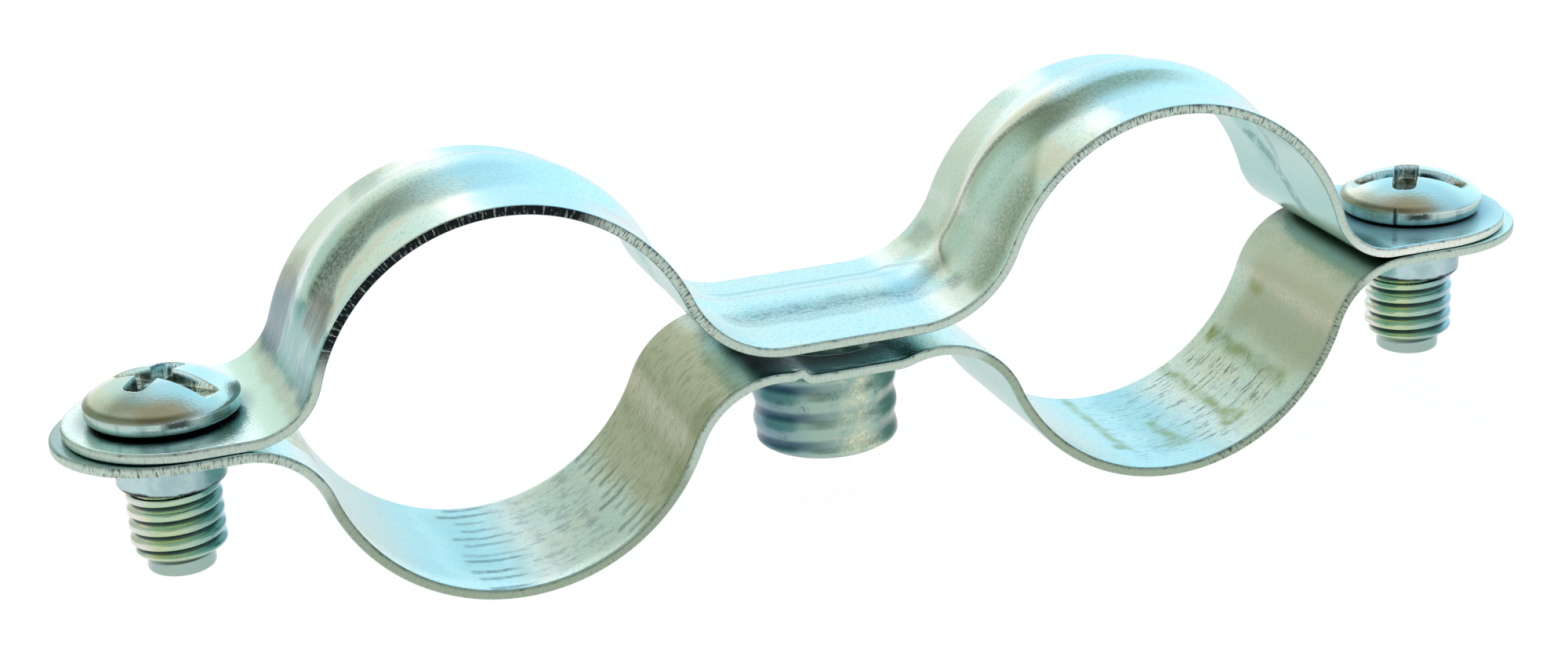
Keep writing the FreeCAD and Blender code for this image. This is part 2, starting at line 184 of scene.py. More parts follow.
# Mesh spacing, where the plain strips end and rings begin, and counts of points and rows
ALONG_STEP = 0.3
ACROSS_STEP = 0.22
UPPER_JOIN = 0.2
LOWER_JOIN = 1.1
MIDDLE_JOIN = 3.0
LEAST_ROLL = 1e-3
ROLL_ROOM = 1.3
HOLE_ROOM = 0.05
WELD = 1e-6
FLANGE_POINTS = 24
ROUND_POINTS = 72
MIDDLE_POINTS = 56
RING_ROWS = 18
ROOT_ROWS = 8
MOUTH_ROWS = 10
SOCKET_ROWS = 40
COLLAR_ROWS = 10
SHANK_COLUMNS = 112
CROWN_ROWS = 112
SHOULDER_ROWS = 10
RIM_ROWS = 6
UNDER_ROWS = 8
THREAD_ROWS = 250
POINT_ROWS = 7
QUARTER = np.linspace(0.0, 0.5 * math.pi, 6)
SIDES = {"left": -1.0, "right": 1.0}


def smoothstep(value):
    """0 below 0, 1 above 1, and 3v^2 - 2v^3 between them."""
    v = np.clip(value, 0.0, 1.0)
    return v * v * (3.0 - 2.0 * v)


def rolled(distance, radius):
    """How far a face drops at that distance inside a cut edge: a quarter circle of that radius."""
    inside = np.clip(radius - distance, 0.0, radius)
    return radius - np.sqrt(radius ** 2 - inside ** 2)


def roll_steps(radius):
    """Distances from an edge that space points evenly round a quarter circle of that radius."""
    return radius * (1.0 - np.cos(QUARTER))


class Centreline:
    """Half of a strap's middle line, from the clip's middle outwards, as runs that meet at tangents."""

    def __init__(self, height):
        self.rows = []
        self.starts = {}
        self.end = (0.0, 0.0, height, 0.0)

    def run(self, name, length, turn=0.0):
        """Adds a named run of that length that turns evenly by that angle, upwards where it is positive."""
        start, x, z, heading = self.end
        chord = length * float(np.sinc(0.5 * turn / math.pi))
        self.starts[name] = start
        self.rows.append((start, x, z, heading, turn / length))
        self.end = (
            start + length,
            x + chord * math.cos(heading + 0.5 * turn),
            z + chord * math.sin(heading + 0.5 * turn),
            heading + turn,
        )

    def at(self, along):
        """Place and upward normal at signed lengths from the middle; the left half mirrors the right.

        On an arc of curvature k the chord to length u is u sin(ku/2) / (ku/2), at half the turn.
        """
        starts, xs, zs, headings, curves = np.array(self.rows).T
        reach = np.abs(along)
        row = np.searchsorted(starts, reach, side="right") - 1
        u = reach - starts[row]
        half = 0.5 * curves[row] * u
        chord = u * np.sinc(half / math.pi)
        slope = headings[row] + 2.0 * half
        side = np.where(along < 0.0, -1.0, 1.0)
        x = side * (xs[row] + chord * np.cos(headings[row] + half))
        z = zs[row] + chord * np.sin(headings[row] + half)
        return x, z, -side * np.sin(slope), np.cos(slope)

    def place(self, along, across, up):
        """Points of the bent strip: along the middle line, across it, and up its normal."""
        x, z, normal_x, normal_z = self.at(along)
        return np.stack([x + normal_x * up, across + 0.0 * x, z + normal_z * up], axis=-1)

    def length_to(self, x):
        """Signed length along the line of a place on the flat flange."""
        start, flat_x = self.rows[-1][:2]
        return math.copysign(start + abs(x) - flat_x, x)

    def stations(self, low, high):
        """Lengths from low to high, evenly spaced inside each run, with every run's end among them."""
        starts = np.array(list(self.starts.values()))
        breaks = np.unique(np.concatenate([starts, -starts, [low, high]]))
        breaks = breaks[(breaks >= low) & (breaks <= high)]
        pieces = [
            np.linspace(a, b, max(2, math.ceil((b - a) / ALONG_STEP) + 1))[:-1]
            for a, b in zip(breaks[:-1], breaks[1:])
        ]
        return np.concatenate(pieces + [breaks[-1:]])


def arch_line():
    """Middle line of the upper strap: flat bridge, bend up, arch over the pipe, bend out, flat flange."""
    half = 0.5 * THICK
    arch = PIPE_RADIUS + half
    bend_in = ARCH_BRIDGE_BEND + half
    bend_out = ARCH_FLANGE_BEND + half
    bridge = PIPE_Z + BRIDGE_LIFT + half
    flange = PIPE_Z - FLANGE_DROP + FLANGE_GAP + half
    rise = math.acos((bridge + bend_in - PIPE_Z) / (arch + bend_in))
    fall = math.acos((flange + bend_out - PIPE_Z) / (arch + bend_out))
    line = Centreline(bridge)
    line.run("bridge", PIPE_X - (arch + bend_in) * math.sin(rise))
    line.run("bend_up", bend_in * rise, rise)
    line.run("arch", arch * (rise + fall), -rise - fall)
    line.run("bend_out", bend_out * fall, fall)
    line.run("flange", FLANGE_RUN)
    return line


def saddle_line():
    """Middle line of the lower strap: flat dish, shoulder, saddle under the pipe, bend out, flat flange."""
    half = 0.5 * THICK
    saddle = PIPE_RADIUS + half
    bend_dish = DISH_BEND + half
    bend_in = SHOULDER_BEND + half
    bend_out = SADDLE_FLANGE_BEND + half
    dish = PIPE_Z - DISH_DROP - half
    shoulder_hub = PIPE_Z - SHOULDER_DROP - half - bend_in
    flange_hub = PIPE_Z - FLANGE_DROP - half - bend_out
    climb = math.acos((dish + bend_dish - shoulder_hub) / (bend_dish + bend_in))
    plunge = math.acos((PIPE_Z - shoulder_hub) / (saddle + bend_in))
    leave = math.acos((PIPE_Z - flange_hub) / (saddle + bend_out))
    shoulder_x = PIPE_X - (saddle + bend_in) * math.sin(plunge)
    line = Centreline(dish)
    line.run("dish", shoulder_x - (bend_dish + bend_in) * math.sin(climb))
    line.run("bend_up", bend_dish * climb, climb)
    line.run("shoulder", bend_in * (climb + plunge), -climb - plunge)
    line.run("saddle", saddle * (plunge + leave), plunge + leave)
    line.run("bend_out", bend_out * leave, -leave)
    line.run("flange", FLANGE_RUN)
    return line


def circle_reach(shift_x, shift_z, ray_x, ray_z, radius):
    """Distance along a ray from a hub to a circle of that radius whose centre is shifted from the hub."""
    ahead = shift_x * ray_x + shift_z * ray_z
    return ahead + np.sqrt(radius ** 2 - shift_x ** 2 - shift_z ** 2 + ahead ** 2)


class Rib:
    """Height that the rib lifts the upper strap by.

    Its crest runs on arcs that are struck from their own hubs, so it fades out down each flank. Across
    the strip it is a rounded V, and a soft step joins it to the plain sheet.
    """

    def __init__(self, line):
        self.line = line
        outer = PIPE_RADIUS + THICK
        self.crest_radius = outer - RIB_SINK
        self.crest_shift = RIB_HEIGHT + RIB_SINK
        bridge_face = PIPE_Z + BRIDGE_LIFT + THICK
        hub_z = bridge_face + RIB_BRIDGE_HEIGHT + RIB_BRIDGE_BEND
        gap_z = hub_z - PIPE_Z - self.crest_shift
        gap_x = math.sqrt((self.crest_radius + RIB_BRIDGE_BEND) ** 2 - gap_z ** 2)
        self.bend_shift_x = PIPE_X - gap_x - line.starts["bend_up"]
        self.bend_shift_z = hub_z - bridge_face - ARCH_BRIDGE_BEND

    def crest(self, along):
        """Height of the crest over the sheet's outer face: the bend's formula, then the arch's."""
        reach = np.abs(along)
        _, _, normal_x, normal_z = self.line.at(reach)
        bend = ARCH_BRIDGE_BEND - circle_reach(
            self.bend_shift_x, self.bend_shift_z, -normal_x, -normal_z, RIB_BRIDGE_BEND)
        arch = circle_reach(0.0, self.crest_shift, normal_x, normal_z, self.crest_radius)
        arch = arch - PIPE_RADIUS - THICK
        flat = np.where(reach < self.line.starts["bend_up"], RIB_BRIDGE_HEIGHT, bend)
        over = smoothstep((reach - self.line.starts["arch"]) / RIB_BLEND + 0.5)
        past = smoothstep((reach - self.line.starts["bend_out"]) / RIB_BLEND + 1.0)
        return (flat * (1.0 - over) + arch * over) * (1.0 - past) - past

    def __call__(self, along, across):
        """Soft maximum of nothing and the crest less the V: half of u + sqrt(u^2 + f^2)."""
        aside = np.abs(across - RIB_OFFSET)
        round_to = RIB_CREST * math.sin(RIB_SLOPE)
        rounded = RIB_CREST - np.sqrt(RIB_CREST ** 2 - np.minimum(aside, round_to) ** 2)
        fall = rounded + np.maximum(aside - round_to, 0.0) * math.tan(RIB_SLOPE)
        u = self.crest(along) - fall
        return 0.5 * (u + np.sqrt(u * u + RIB_FOOT ** 2))


class Skin:
    """Grids of points gathered into one mesh, with named values kept at each point."""

    def __init__(self):
        self.points = []
        self.faces = []
        self.values = {}
        self.count = 0

    def add(self, points, **values):
        """A grid of rows and columns: each cell is a four-sided face."""
        rows, columns = points.shape[:2]
        index = self.count + np.arange(rows * columns).reshape(rows, columns)
        quads = [index[:-1, :-1], index[1:, :-1], index[1:, 1:], index[:-1, 1:]]
        self.faces.append(np.stack(quads, axis=-1).reshape(-1, 4))
        self.points.append(points.reshape(-1, 3))
        for name, value in values.items():
            self.values.setdefault(name, []).append(np.broadcast_to(value, (rows, columns)).reshape(-1))
        self.count += rows * columns
        return index

    def mesh(self, name):
        """The welded mesh: doubles merged, faces turned outwards, smooth."""
        mesh = bpy.data.meshes.new(name)
        points = np.concatenate(self.points) * MM
        faces = [face for block in self.faces for face in block.tolist()]
        mesh.from_pydata(points.tolist(), [], faces)
        for key, blocks in self.values.items():
            layer = mesh.attributes.new(key, "FLOAT", "POINT")
            layer.data.foreach_set("value", np.concatenate(blocks).astype(np.float32))
        shape = bmesh.new()
        shape.from_mesh(mesh)
        bmesh.ops.remove_doubles(shape, verts=shape.verts, dist=WELD)
        bmesh.ops.recalc_face_normals(shape, faces=shape.faces)
        shape.to_mesh(mesh)
        shape.free()
        mesh.shade_smooth()
        return mesh


def closed(grid):
    """The grid with its first column again at the end, so that it closes on itself."""
    return np.concatenate([grid, grid[:, :1]], axis=1)


def across_steps():
    """Places across the strip, close together round its rolled edges."""
    edge = HALF_WIDTH - roll_steps(ROLLED_EDGE)
    inner = edge[-1] - 0.5 * ACROSS_STEP
    count = math.ceil(2.0 * inner / ACROSS_STEP) + 1
    return np.concatenate([-edge, np.linspace(-inner, inner, count), edge[::-1]])


def flange_loop(side, join, end, across):
    """Outline of an end flange: down the join line, out along one edge, round the end and back."""
    edge = np.linspace(join, end, FLANGE_POINTS)[1:]
    near = np.full(edge.size, -HALF_WIDTH)
    round_end = np.linspace(-0.5 * math.pi, 0.5 * math.pi, ROUND_POINTS)[1:-1]
    along = np.concatenate([
        np.full(across.size, join), edge, end + HALF_WIDTH * np.cos(round_end), edge[::-1]])
    over = np.concatenate([across[::-1], near, HALF_WIDTH * np.sin(round_end), -near])
    joined = np.zeros(along.size, bool)
    joined[1:across.size - 1] = True
    return side * along, over, joined


def middle_loop(join, across):
    """Outline of the middle of a strap: a rectangle with a join line at each end."""
    edge = np.linspace(-join, join, MIDDLE_POINTS)[1:-1]
    along = np.concatenate([np.full(across.size, join), edge[::-1], np.full(across.size, -join), edge])
    over = np.concatenate([
        across, np.full(edge.size, HALF_WIDTH), across[::-1], np.full(edge.size, -HALF_WIDTH)])
    joined = np.zeros(along.size, bool)
    joined[1:across.size - 1] = True
    second = across.size + edge.size
    joined[second + 1:second + across.size - 1] = True
    return along, over, joined


class Blank:
    """A strap's flat blank and how it is bent: its middle line, what lifts it from that, and its ends."""

    def __init__(self, line, lift, ends):
        self.line = line
        self.lift = lift
        self.ends = {side: line.length_to(x) for side, x in ends.items()}
        self.skin = Skin()

    def edge_distance(self, along, across):
        """Distance inside the blank's outline: straight edges, and a half circle at each end."""
        past = np.maximum(along - self.ends["right"], self.ends["left"] - along)
        return np.maximum(HALF_WIDTH - np.hypot(np.maximum(past, 0.0), across), 0.0)

    def sheet(self, along, across, wall, side, drop=0.0):
        """One face of the sheet, upper for side 1: half the thickness less the roll of its edges."""
        rim = self.edge_distance(along, across)
        up = side * np.where(wall, 0.0, 0.5 * THICK - rolled(rim, ROLLED_EDGE) - drop)
        points = self.line.place(along, across, up + self.lift(along, across))
        values = {"along": along, "across": across, "through": up, "rim": rim, "neck": 0.0, "groove": 0.0}
        return points, values

    def strip(self, low, high, across):
        """Both faces of the plain strip between two lengths, each running on to the middle of its edge."""
        over = np.concatenate([across[:1], across, across[-1:]])
        along, over = np.meshgrid(self.line.stations(low, high), over, indexing="ij")
        wall = np.zeros(along.shape, bool)
        wall[:, [0, -1]] = True
        for side in (1.0, -1.0):
            points, values = self.sheet(along, over, wall, side)
            self.skin.add(points, **values)

    def ring(self, loop, centre, radius, roll, side):
        """One face between a round hole and an outline, on straight rays. Gives the hole's rim.

        Rows are close together at the hole and at the outline, and the last one is the middle of the
        cut edge, or the join line again where a ray ends on one.
        """
        end_along, end_across, joined = loop
        length = np.hypot(end_along - centre, end_across)
        ray = np.stack([end_along - centre, end_across]) / length
        from_hole = np.append(roll_steps(max(roll, LEAST_ROLL)), ROLL_ROOM * roll + HOLE_ROOM)
        from_edge = np.append(0.5 * ACROSS_STEP + ROLLED_EDGE, roll_steps(ROLLED_EDGE)[::-1])
        inner = from_hole[:, None] + 0.0 * length
        outer = length - radius - from_edge[:, None]
        share = np.linspace(0.0, 1.0, RING_ROWS)[1:-1, None]
        middle = inner[-1] + (outer[0] - inner[-1]) * share
        away = np.concatenate([inner, middle, outer, outer[-1:]])
        along = centre + (radius + away) * ray[0]
        over = (radius + away) * ray[1]
        wall = np.zeros(along.shape, bool)
        wall[-1] = ~joined
        points, values = self.sheet(along, over, wall, side, rolled(away, roll) if roll else 0.0)
        values = {name: closed(np.broadcast_to(value, along.shape)) for name, value in values.items()}
        self.skin.add(closed(points), **values)
        return points[0], ray

    def neck(self, rings, groove=None):
        """The wall of a hole, collar or socket: rings of points from the under face to the upper one."""
        points = np.stack(rings)
        plain = np.zeros(points.shape[:2])
        groove = plain if groove is None else groove
        self.skin.add(closed(points), along=closed(plain + points[..., 0]), across=closed(points[..., 1]),
                      through=-THICK, rim=THICK, neck=1.0, groove=closed(groove))


def burr(along, across):
    """A torn lip on the near edge of the lower strap: a bell along the edge that fades in from it."""
    bell = np.exp(-((along - BURR_PLACE) / BURR_WIDTH) ** 2)
    return BURR_HEIGHT * bell * smoothstep((BURR_REACH - HALF_WIDTH - across) / BURR_FADE)


def drawn_neck(outer_rim, inner_rim, ray, centre_x, wall, bore, root, bottom, rows, ripple):
    """Rings of a neck drawn down out of the sheet, from its root round its mouth and up its bore.

    The root is a quarter circle, the mouth a half circle as wide as the wall, and the ripple moves
    wall and bore out together by a function of height and of the angle round the neck.
    """
    turn = np.arctan2(ray[1], ray[0])
    lip = 0.5 * (wall - bore)
    angle = np.linspace(0.0, 0.5 * math.pi, ROOT_ROWS)[1:, None]
    root_r = wall + root * (1.0 - np.sin(angle)) + 0.0 * turn
    root_z = outer_rim[:, 2] - root * (1.0 - np.cos(angle))
    share = np.linspace(0.0, 1.0, rows)[1:, None]
    wall_z = root_z[-1] + (bottom + lip - root_z[-1]) * share
    mouth = np.linspace(0.0, math.pi, MOUTH_ROWS)[1:, None]
    mouth_r = bore + lip + lip * np.cos(mouth) + 0.0 * turn
    mouth_z = bottom + lip - lip * np.sin(mouth) + 0.0 * turn
    bore_z = mouth_z[-1] + (inner_rim[:, 2] - mouth_z[-1]) * share[:-1]
    radius = np.concatenate([root_r, wall + 0.0 * wall_z, mouth_r, bore + 0.0 * bore_z])
    height = np.concatenate([root_z, wall_z, mouth_z, bore_z])
    top = np.minimum(outer_rim[:, 2] - root, inner_rim[:, 2])
    fade = smoothstep((top - height) / NECK_RUN_IN)
    fade = fade * smoothstep((height - bottom - NECK_LIP) / NECK_LIP_FADE)
    swell = fade * ripple(height, turn)
    radius = radius + swell
    settle = np.zeros((len(radius), 1))
    settle[:len(angle)] = 1.0 - smoothstep(angle / (0.5 * math.pi))
    skew = outer_rim[:, 0] - centre_x - (wall + root) * ray[0]
    x = centre_x + radius * ray[0] + settle * skew
    rings = np.stack([x, radius * ray[1], height], axis=-1)
    groove = fade * (1.0 - (swell - SOCKET_SWELL) / SOCKET_RIPPLE)
    plain = 0.0 * turn
    return [outer_rim, *rings, inner_rim], np.stack([plain, *groove, plain])


def socket_thread(height, turn):
    """Rolled right-handed thread: a rounded ridge that climbs one pitch in a turn."""
    wave = 0.5 + 0.5 * np.cos(2.0 * math.pi * (height - SOCKET_PHASE) / SOCKET_PITCH - turn)
    return SOCKET_SWELL + SOCKET_RIPPLE * wave


def plain_wall(height, turn):
    """A drawn collar narrows a little towards its mouth."""
    return COLLAR_DRAFT * smoothstep((height - COLLAR_BOTTOM) / COLLAR_DRAFT_HEIGHT) + 0.0 * turn


def upper_strap():
    """The upper strap: a strip with a rib, and a flange with a plain screw hole at each end."""
    line = arch_line()
    blank = Blank(line, Rib(line), node_ends("upper_strap"))
    across = across_steps()
    join = line.starts["flange"] - UPPER_JOIN
    blank.strip(-join, join, across)
    for side, sign in SIDES.items():
        loop = flange_loop(sign, join, abs(blank.ends[side]), across)
        centre = line.length_to(SCREW_X[side])
        top, _ = blank.ring(loop, centre, CLEARANCE, ROLLED_EDGE, 1.0)
        under, _ = blank.ring(loop, centre, CLEARANCE, ROLLED_EDGE, -1.0)
        blank.neck([under, top])
    return blank.skin


def lower_strap():
    """The lower strap: saddles, flanges with drawn collars, and the drawn socket in the middle."""
    line = saddle_line()
    blank = Blank(line, burr, node_ends("lower_strap"))
    across = across_steps()
    join = line.starts["flange"] - LOWER_JOIN
    middle = line.starts["shoulder"] + MIDDLE_JOIN
    for low, high in ((-join, -middle), (middle, join)):
        blank.strip(low, high, across)
    loop = middle_loop(middle, across)
    top, ray = blank.ring(loop, 0.0, SOCKET_BORE, SOCKET_MOUTH_ROLL, 1.0)
    under, _ = blank.ring(loop, 0.0, SOCKET_WALL + SOCKET_ROOT, 0.0, -1.0)
    blank.neck(*drawn_neck(
        under, top, ray, 0.0,
        SOCKET_WALL, SOCKET_BORE, SOCKET_ROOT, SOCKET_BOTTOM, SOCKET_ROWS, socket_thread))
    for side, sign in SIDES.items():
        loop = flange_loop(sign, join, abs(blank.ends[side]), across)
        centre = line.length_to(SCREW_X[side])
        top, ray = blank.ring(loop, centre, COLLAR_BORE, ROLLED_EDGE, 1.0)
        under, _ = blank.ring(loop, centre, COLLAR_WALL + COLLAR_ROOT, 0.0, -1.0)
        blank.neck(*drawn_neck(
            under, top, ray, SCREW_X[side],
            COLLAR_WALL, COLLAR_BORE, COLLAR_ROOT, COLLAR_BOTTOM, COLLAR_ROWS, plain_wall))
    return blank.skin


def node_ends(node):
    """Where the round ends of a strap have their centres."""
    low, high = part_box(node)
    return {"left": low.x / MM + HALF_WIDTH, "right": high.x / MM - HALF_WIDTH}


def inside(distance):
    """1 well inside an outline and 0 outside it, with a steep soft wall between."""
    return smoothstep(distance / RECESS_WALL + 0.5)


def head_recess(x, y, side):
    """Depth of the recess under the crown: a full slot, crossed by short wings with round ends."""
    angle = SLOT_ANGLE[side]
    x = x - RECESS_SHIFT[side][0]
    y = y - RECESS_SHIFT[side][1]
    u = x * math.cos(angle) + y * math.sin(angle)
    v = y * math.cos(angle) - x * math.sin(angle)
    wing_u = np.maximum(np.abs(u) - WING_HALF + WING_CORNER, 0.0)
    wing_v = np.maximum(np.abs(v) - WING_REACH + WING_CORNER, 0.0)
    slot = SLOT_DEPTH * inside(SLOT_HALF - np.abs(v))
    floor = WING_DEPTH - WING_RISE * (v / WING_REACH) ** 2
    wings = floor * inside(WING_CORNER - np.hypot(wing_u, wing_v))
    return np.maximum(slot, wings)


def head_ball():
    """Radius of the dome's foot, and of the ball that the dome is a cap of."""
    foot = HEAD_RADIUS - HEAD_SHOULDER
    rise = HEAD_HEIGHT - HEAD_RIM - HEAD_SHOULDER
    return foot, (foot ** 2 + rise ** 2) / (2.0 * rise)


def add_head(skin, side, turn):
    """Rings of a screw's head, from the crown's middle outwards and under.

    The crown is a sphere's cap less the recess, its shoulder a parabola that meets a straight rim, and
    a quarter circle rounds the rim's lower edge. The value kept as thread is -1 here and 1 in the nick.
    """
    foot, ball = head_ball()
    crown_r = np.linspace(0.0, foot, CROWN_ROWS)
    crown_z = HEAD_HEIGHT - ball + np.sqrt(ball ** 2 - crown_r ** 2)
    slope = foot / math.sqrt(ball ** 2 - foot ** 2)
    bend = np.linspace(0.0, 1.0, SHOULDER_ROWS)[1:-1]
    pull = crown_z[-1] - slope * HEAD_SHOULDER
    corner_r = HEAD_RADIUS - HEAD_SHOULDER * (1.0 - bend) ** 2
    corner_z = crown_z[-1] * (1.0 - bend) ** 2 + 2.0 * bend * (1.0 - bend) * pull + HEAD_RIM * bend ** 2
    wall_z = np.linspace(HEAD_RIM, HEAD_FOOT + HEAD_EDGE, RIM_ROWS)[:-1]
    wall_r = np.full(wall_z.size, HEAD_RADIUS)
    angle = np.linspace(0.0, 0.5 * math.pi, UNDER_ROWS)
    under_r = HEAD_RADIUS - HEAD_EDGE * (1.0 - np.cos(angle))
    under_z = HEAD_FOOT + HEAD_EDGE * (1.0 - np.sin(angle))
    radius = np.concatenate([crown_r, corner_r, wall_r, under_r])[:, None] + 0.0 * turn
    height = np.concatenate([crown_z, corner_z, wall_z, under_z])[:, None] + 0.0 * turn
    nick = np.exp(-((turn - NICK_TURN) / NICK_WIDTH) ** 2) * smoothstep((radius - foot) / NICK_FADE + 0.5)
    radius = radius - NICK_DEPTH[side] * nick
    x = radius * np.cos(turn)
    y = radius * np.sin(turn)
    height = np.minimum(height, HEAD_HEIGHT - head_recess(x, y, side) * (height > HEAD_RIM))
    mark = 2.0 * nick * (NICK_DEPTH[side] > 0.0) - 1.0
    return skin.add(closed(np.stack([x, y, height], axis=-1)), thread=closed(mark))


def add_shank(skin, turn):
    """Rings of a screw's shank from under its head down: a rolled thread that runs out to a point.

    The value kept as thread goes from 0 on its crest to 1 in its groove.
    """
    under = -np.linspace(0.0, SCREW_LENGTH - POINT_LENGTH, THREAD_ROWS)[:, None]
    wave = 0.5 + 0.5 * np.cos(2.0 * math.pi * under / THREAD_PITCH - turn)
    taper = smoothstep((under + SCREW_LENGTH - POINT_LENGTH) / POINT_TAPER)
    start = smoothstep(-under / THREAD_START)
    runout = POINT_RADIUS - POINT_STEP
    crest = POINT_RADIUS + (THREAD_CREST - POINT_RADIUS) * taper
    valley = runout + (THREAD_ROOT - runout) * taper
    broad = 1.0 - (1.0 - wave) ** THREAD_BREADTH
    thread_r = valley + (crest - valley) * (broad * start + 1.0 - start)
    bead = np.linspace(0.0, 0.5 * math.pi, POINT_ROWS)
    point_r = np.concatenate([POINT_RADIUS - POINT_EDGE * (1.0 - np.cos(bead)), [POINT_FLAT, 0.0]])[:, None]
    point_z = np.concatenate([POINT_EDGE * (1.0 - np.sin(bead)), [0.0, 0.0]])[:, None] - SCREW_LENGTH
    radius = np.concatenate([thread_r, point_r + 0.0 * turn])
    height = np.concatenate([under, point_z]) + 0.0 * turn
    groove = np.concatenate([1.0 - wave, POINT_GROOVE + 0.0 * point_r * turn])
    points = np.stack([radius * np.cos(turn), radius * np.sin(turn), height], axis=-1)
    return skin.add(closed(points), thread=closed(groove))


def screw(side):
    """A domed screw. Its head has three columns for each one of its shank; six-sided cells join them."""
    skin = Skin()
    turn = np.linspace(0.0, 2.0 * math.pi, 3 * SHANK_COLUMNS, endpoint=False)
    outer = add_head(skin, side, turn)[-1]
    inner = add_shank(skin, turn[::3])[0]
    cells = [inner[:-1], inner[1:], outer[3::3], outer[2::3], outer[1::3], outer[:-1:3]]
    skin.faces.append(np.stack(cells, axis=-1))
    skin.points = [block + np.array([SCREW_X[side], 0.0, SCREW_SEAT]) for block in skin.points]
    return skin


class Value:
    """A socket whose number or colour varies over a surface; arithmetic on it adds Math nodes."""

    def __init__(self, tree, socket):
        self.tree = tree
        self.socket = socket

    def maths(self, operation, *inputs):
        return self.tree.add("ShaderNodeMath", {"operation": operation}, dict(enumerate(inputs)))

    def __add__(self, other):
        return self.maths("ADD", self, other)

    def __radd__(self, other):
        return self.maths("ADD", other, self)

    def __sub__(self, other):
        return self.maths("SUBTRACT", self, other)

    def __rsub__(self, other):
        return self.maths("SUBTRACT", other, self)

    def __mul__(self, other):
        return self.maths("MULTIPLY", self, other)

    def __rmul__(self, other):
        return self.maths("MULTIPLY", other, self)

    def __truediv__(self, other):
        return self.maths("DIVIDE", self, other)

    def __abs__(self):
        return self.maths("ABSOLUTE", self)


class Nodes:
    """A node tree that is written as expressions; one method adds any node."""

    def __init__(self, tree):
        self.tree = tree

    def add(self, kind, settings=None, sockets=None, output=0):
        """Adds a node: its settings first, then the values or links of its sockets."""
        node = self.tree.nodes.new(kind)
        for name, value in (settings or {}).items():
            if name == "stops":
                self.set_stops(node.color_ramp.elements, value)
            else:
                setattr(node, name, value)
        for key, value in (sockets or {}).items():
            self.put(node.inputs[key], value)
        return Value(self, node.outputs[output])

    def set_stops(self, elements, stops):
        """Gives a ramp its stops, from one at 0 to one at 1."""
        elements[0].color = stops[0][1]
        elements[1].color = stops[-1][1]
        for place, shade in stops[1:-1]:
            elements.new(place).color = shade

    def put(self, socket, value):
        if isinstance(value, Value):
            self.tree.links.new(value.socket, socket)
        else:
            socket.default_value = value

    def kept(self, name):
        """A value kept at the mesh's points."""
        return self.add("ShaderNodeAttribute", {"attribute_name": name}, output="Fac")

    def place(self):
        """Object coordinates."""
        return self.add("ShaderNodeTexCoord", output="Object")

    def vector(self, x, y, z):
        return self.add("ShaderNodeCombineXYZ", sockets={0: x, 1: y, 2: z})

    def parts(self, vector):
        """The three numbers of a vector."""
        x = self.add("ShaderNodeSeparateXYZ", sockets={0: vector})
        return x, *(Value(self, output) for output in x.socket.node.outputs[1:])

    def length(self, x, y):
        """Length of the diagonal of two numbers."""
        square = x * x + y * y
        return square.maths("SQRT", square)

    def noise(self, vector, scale, detail=2.0, rough=0.5):
        sockets = {"Vector": vector, "Scale": scale, "Detail": detail, "Roughness": rough}
        return self.add("ShaderNodeTexNoise", sockets=sockets)

    def step(self, value, low, high):
        """0 at low and before, 1 at high and after, with a smooth step between."""
        sockets = {"Value": value, "From Min": low, "From Max": high}
        return self.add("ShaderNodeMapRange", {"interpolation_type": "SMOOTHSTEP"}, sockets)

    def band(self, value, low, high, soft):
        """1 between low and high, fading over that distance outside each."""
        return self.step(value, low - soft, low) * self.step(value, high + soft, high)

    def mix(self, factor, first, second):
        """A colour that goes from the first to the second as the factor goes from 0 to 1."""
        return self.add("ShaderNodeMix", {"data_type": "RGBA"}, {0: factor, 6: first, 7: second}, output=2)


def colour(red, green, blue):
    return (red, green, blue, 1.0)


# Plating: the unit of its bumps, scales of its noises per metre, and how the borders of stains sway
BUMP_UNIT = 0.01 * MM
MOTTLE_SCALE = 330.0
MOTTLE_RANGE = (0.38, 0.7)
WAVE_SCALE = 420.0
GRAIN_SCALE = 5200.0
GRAIN_ROUGH = 0.7
DRIFT_SCALE = 0.4
DRIFT_REACH = 1.8
DRIFT_SEED = {"along": 0.0, "across": 7.0}


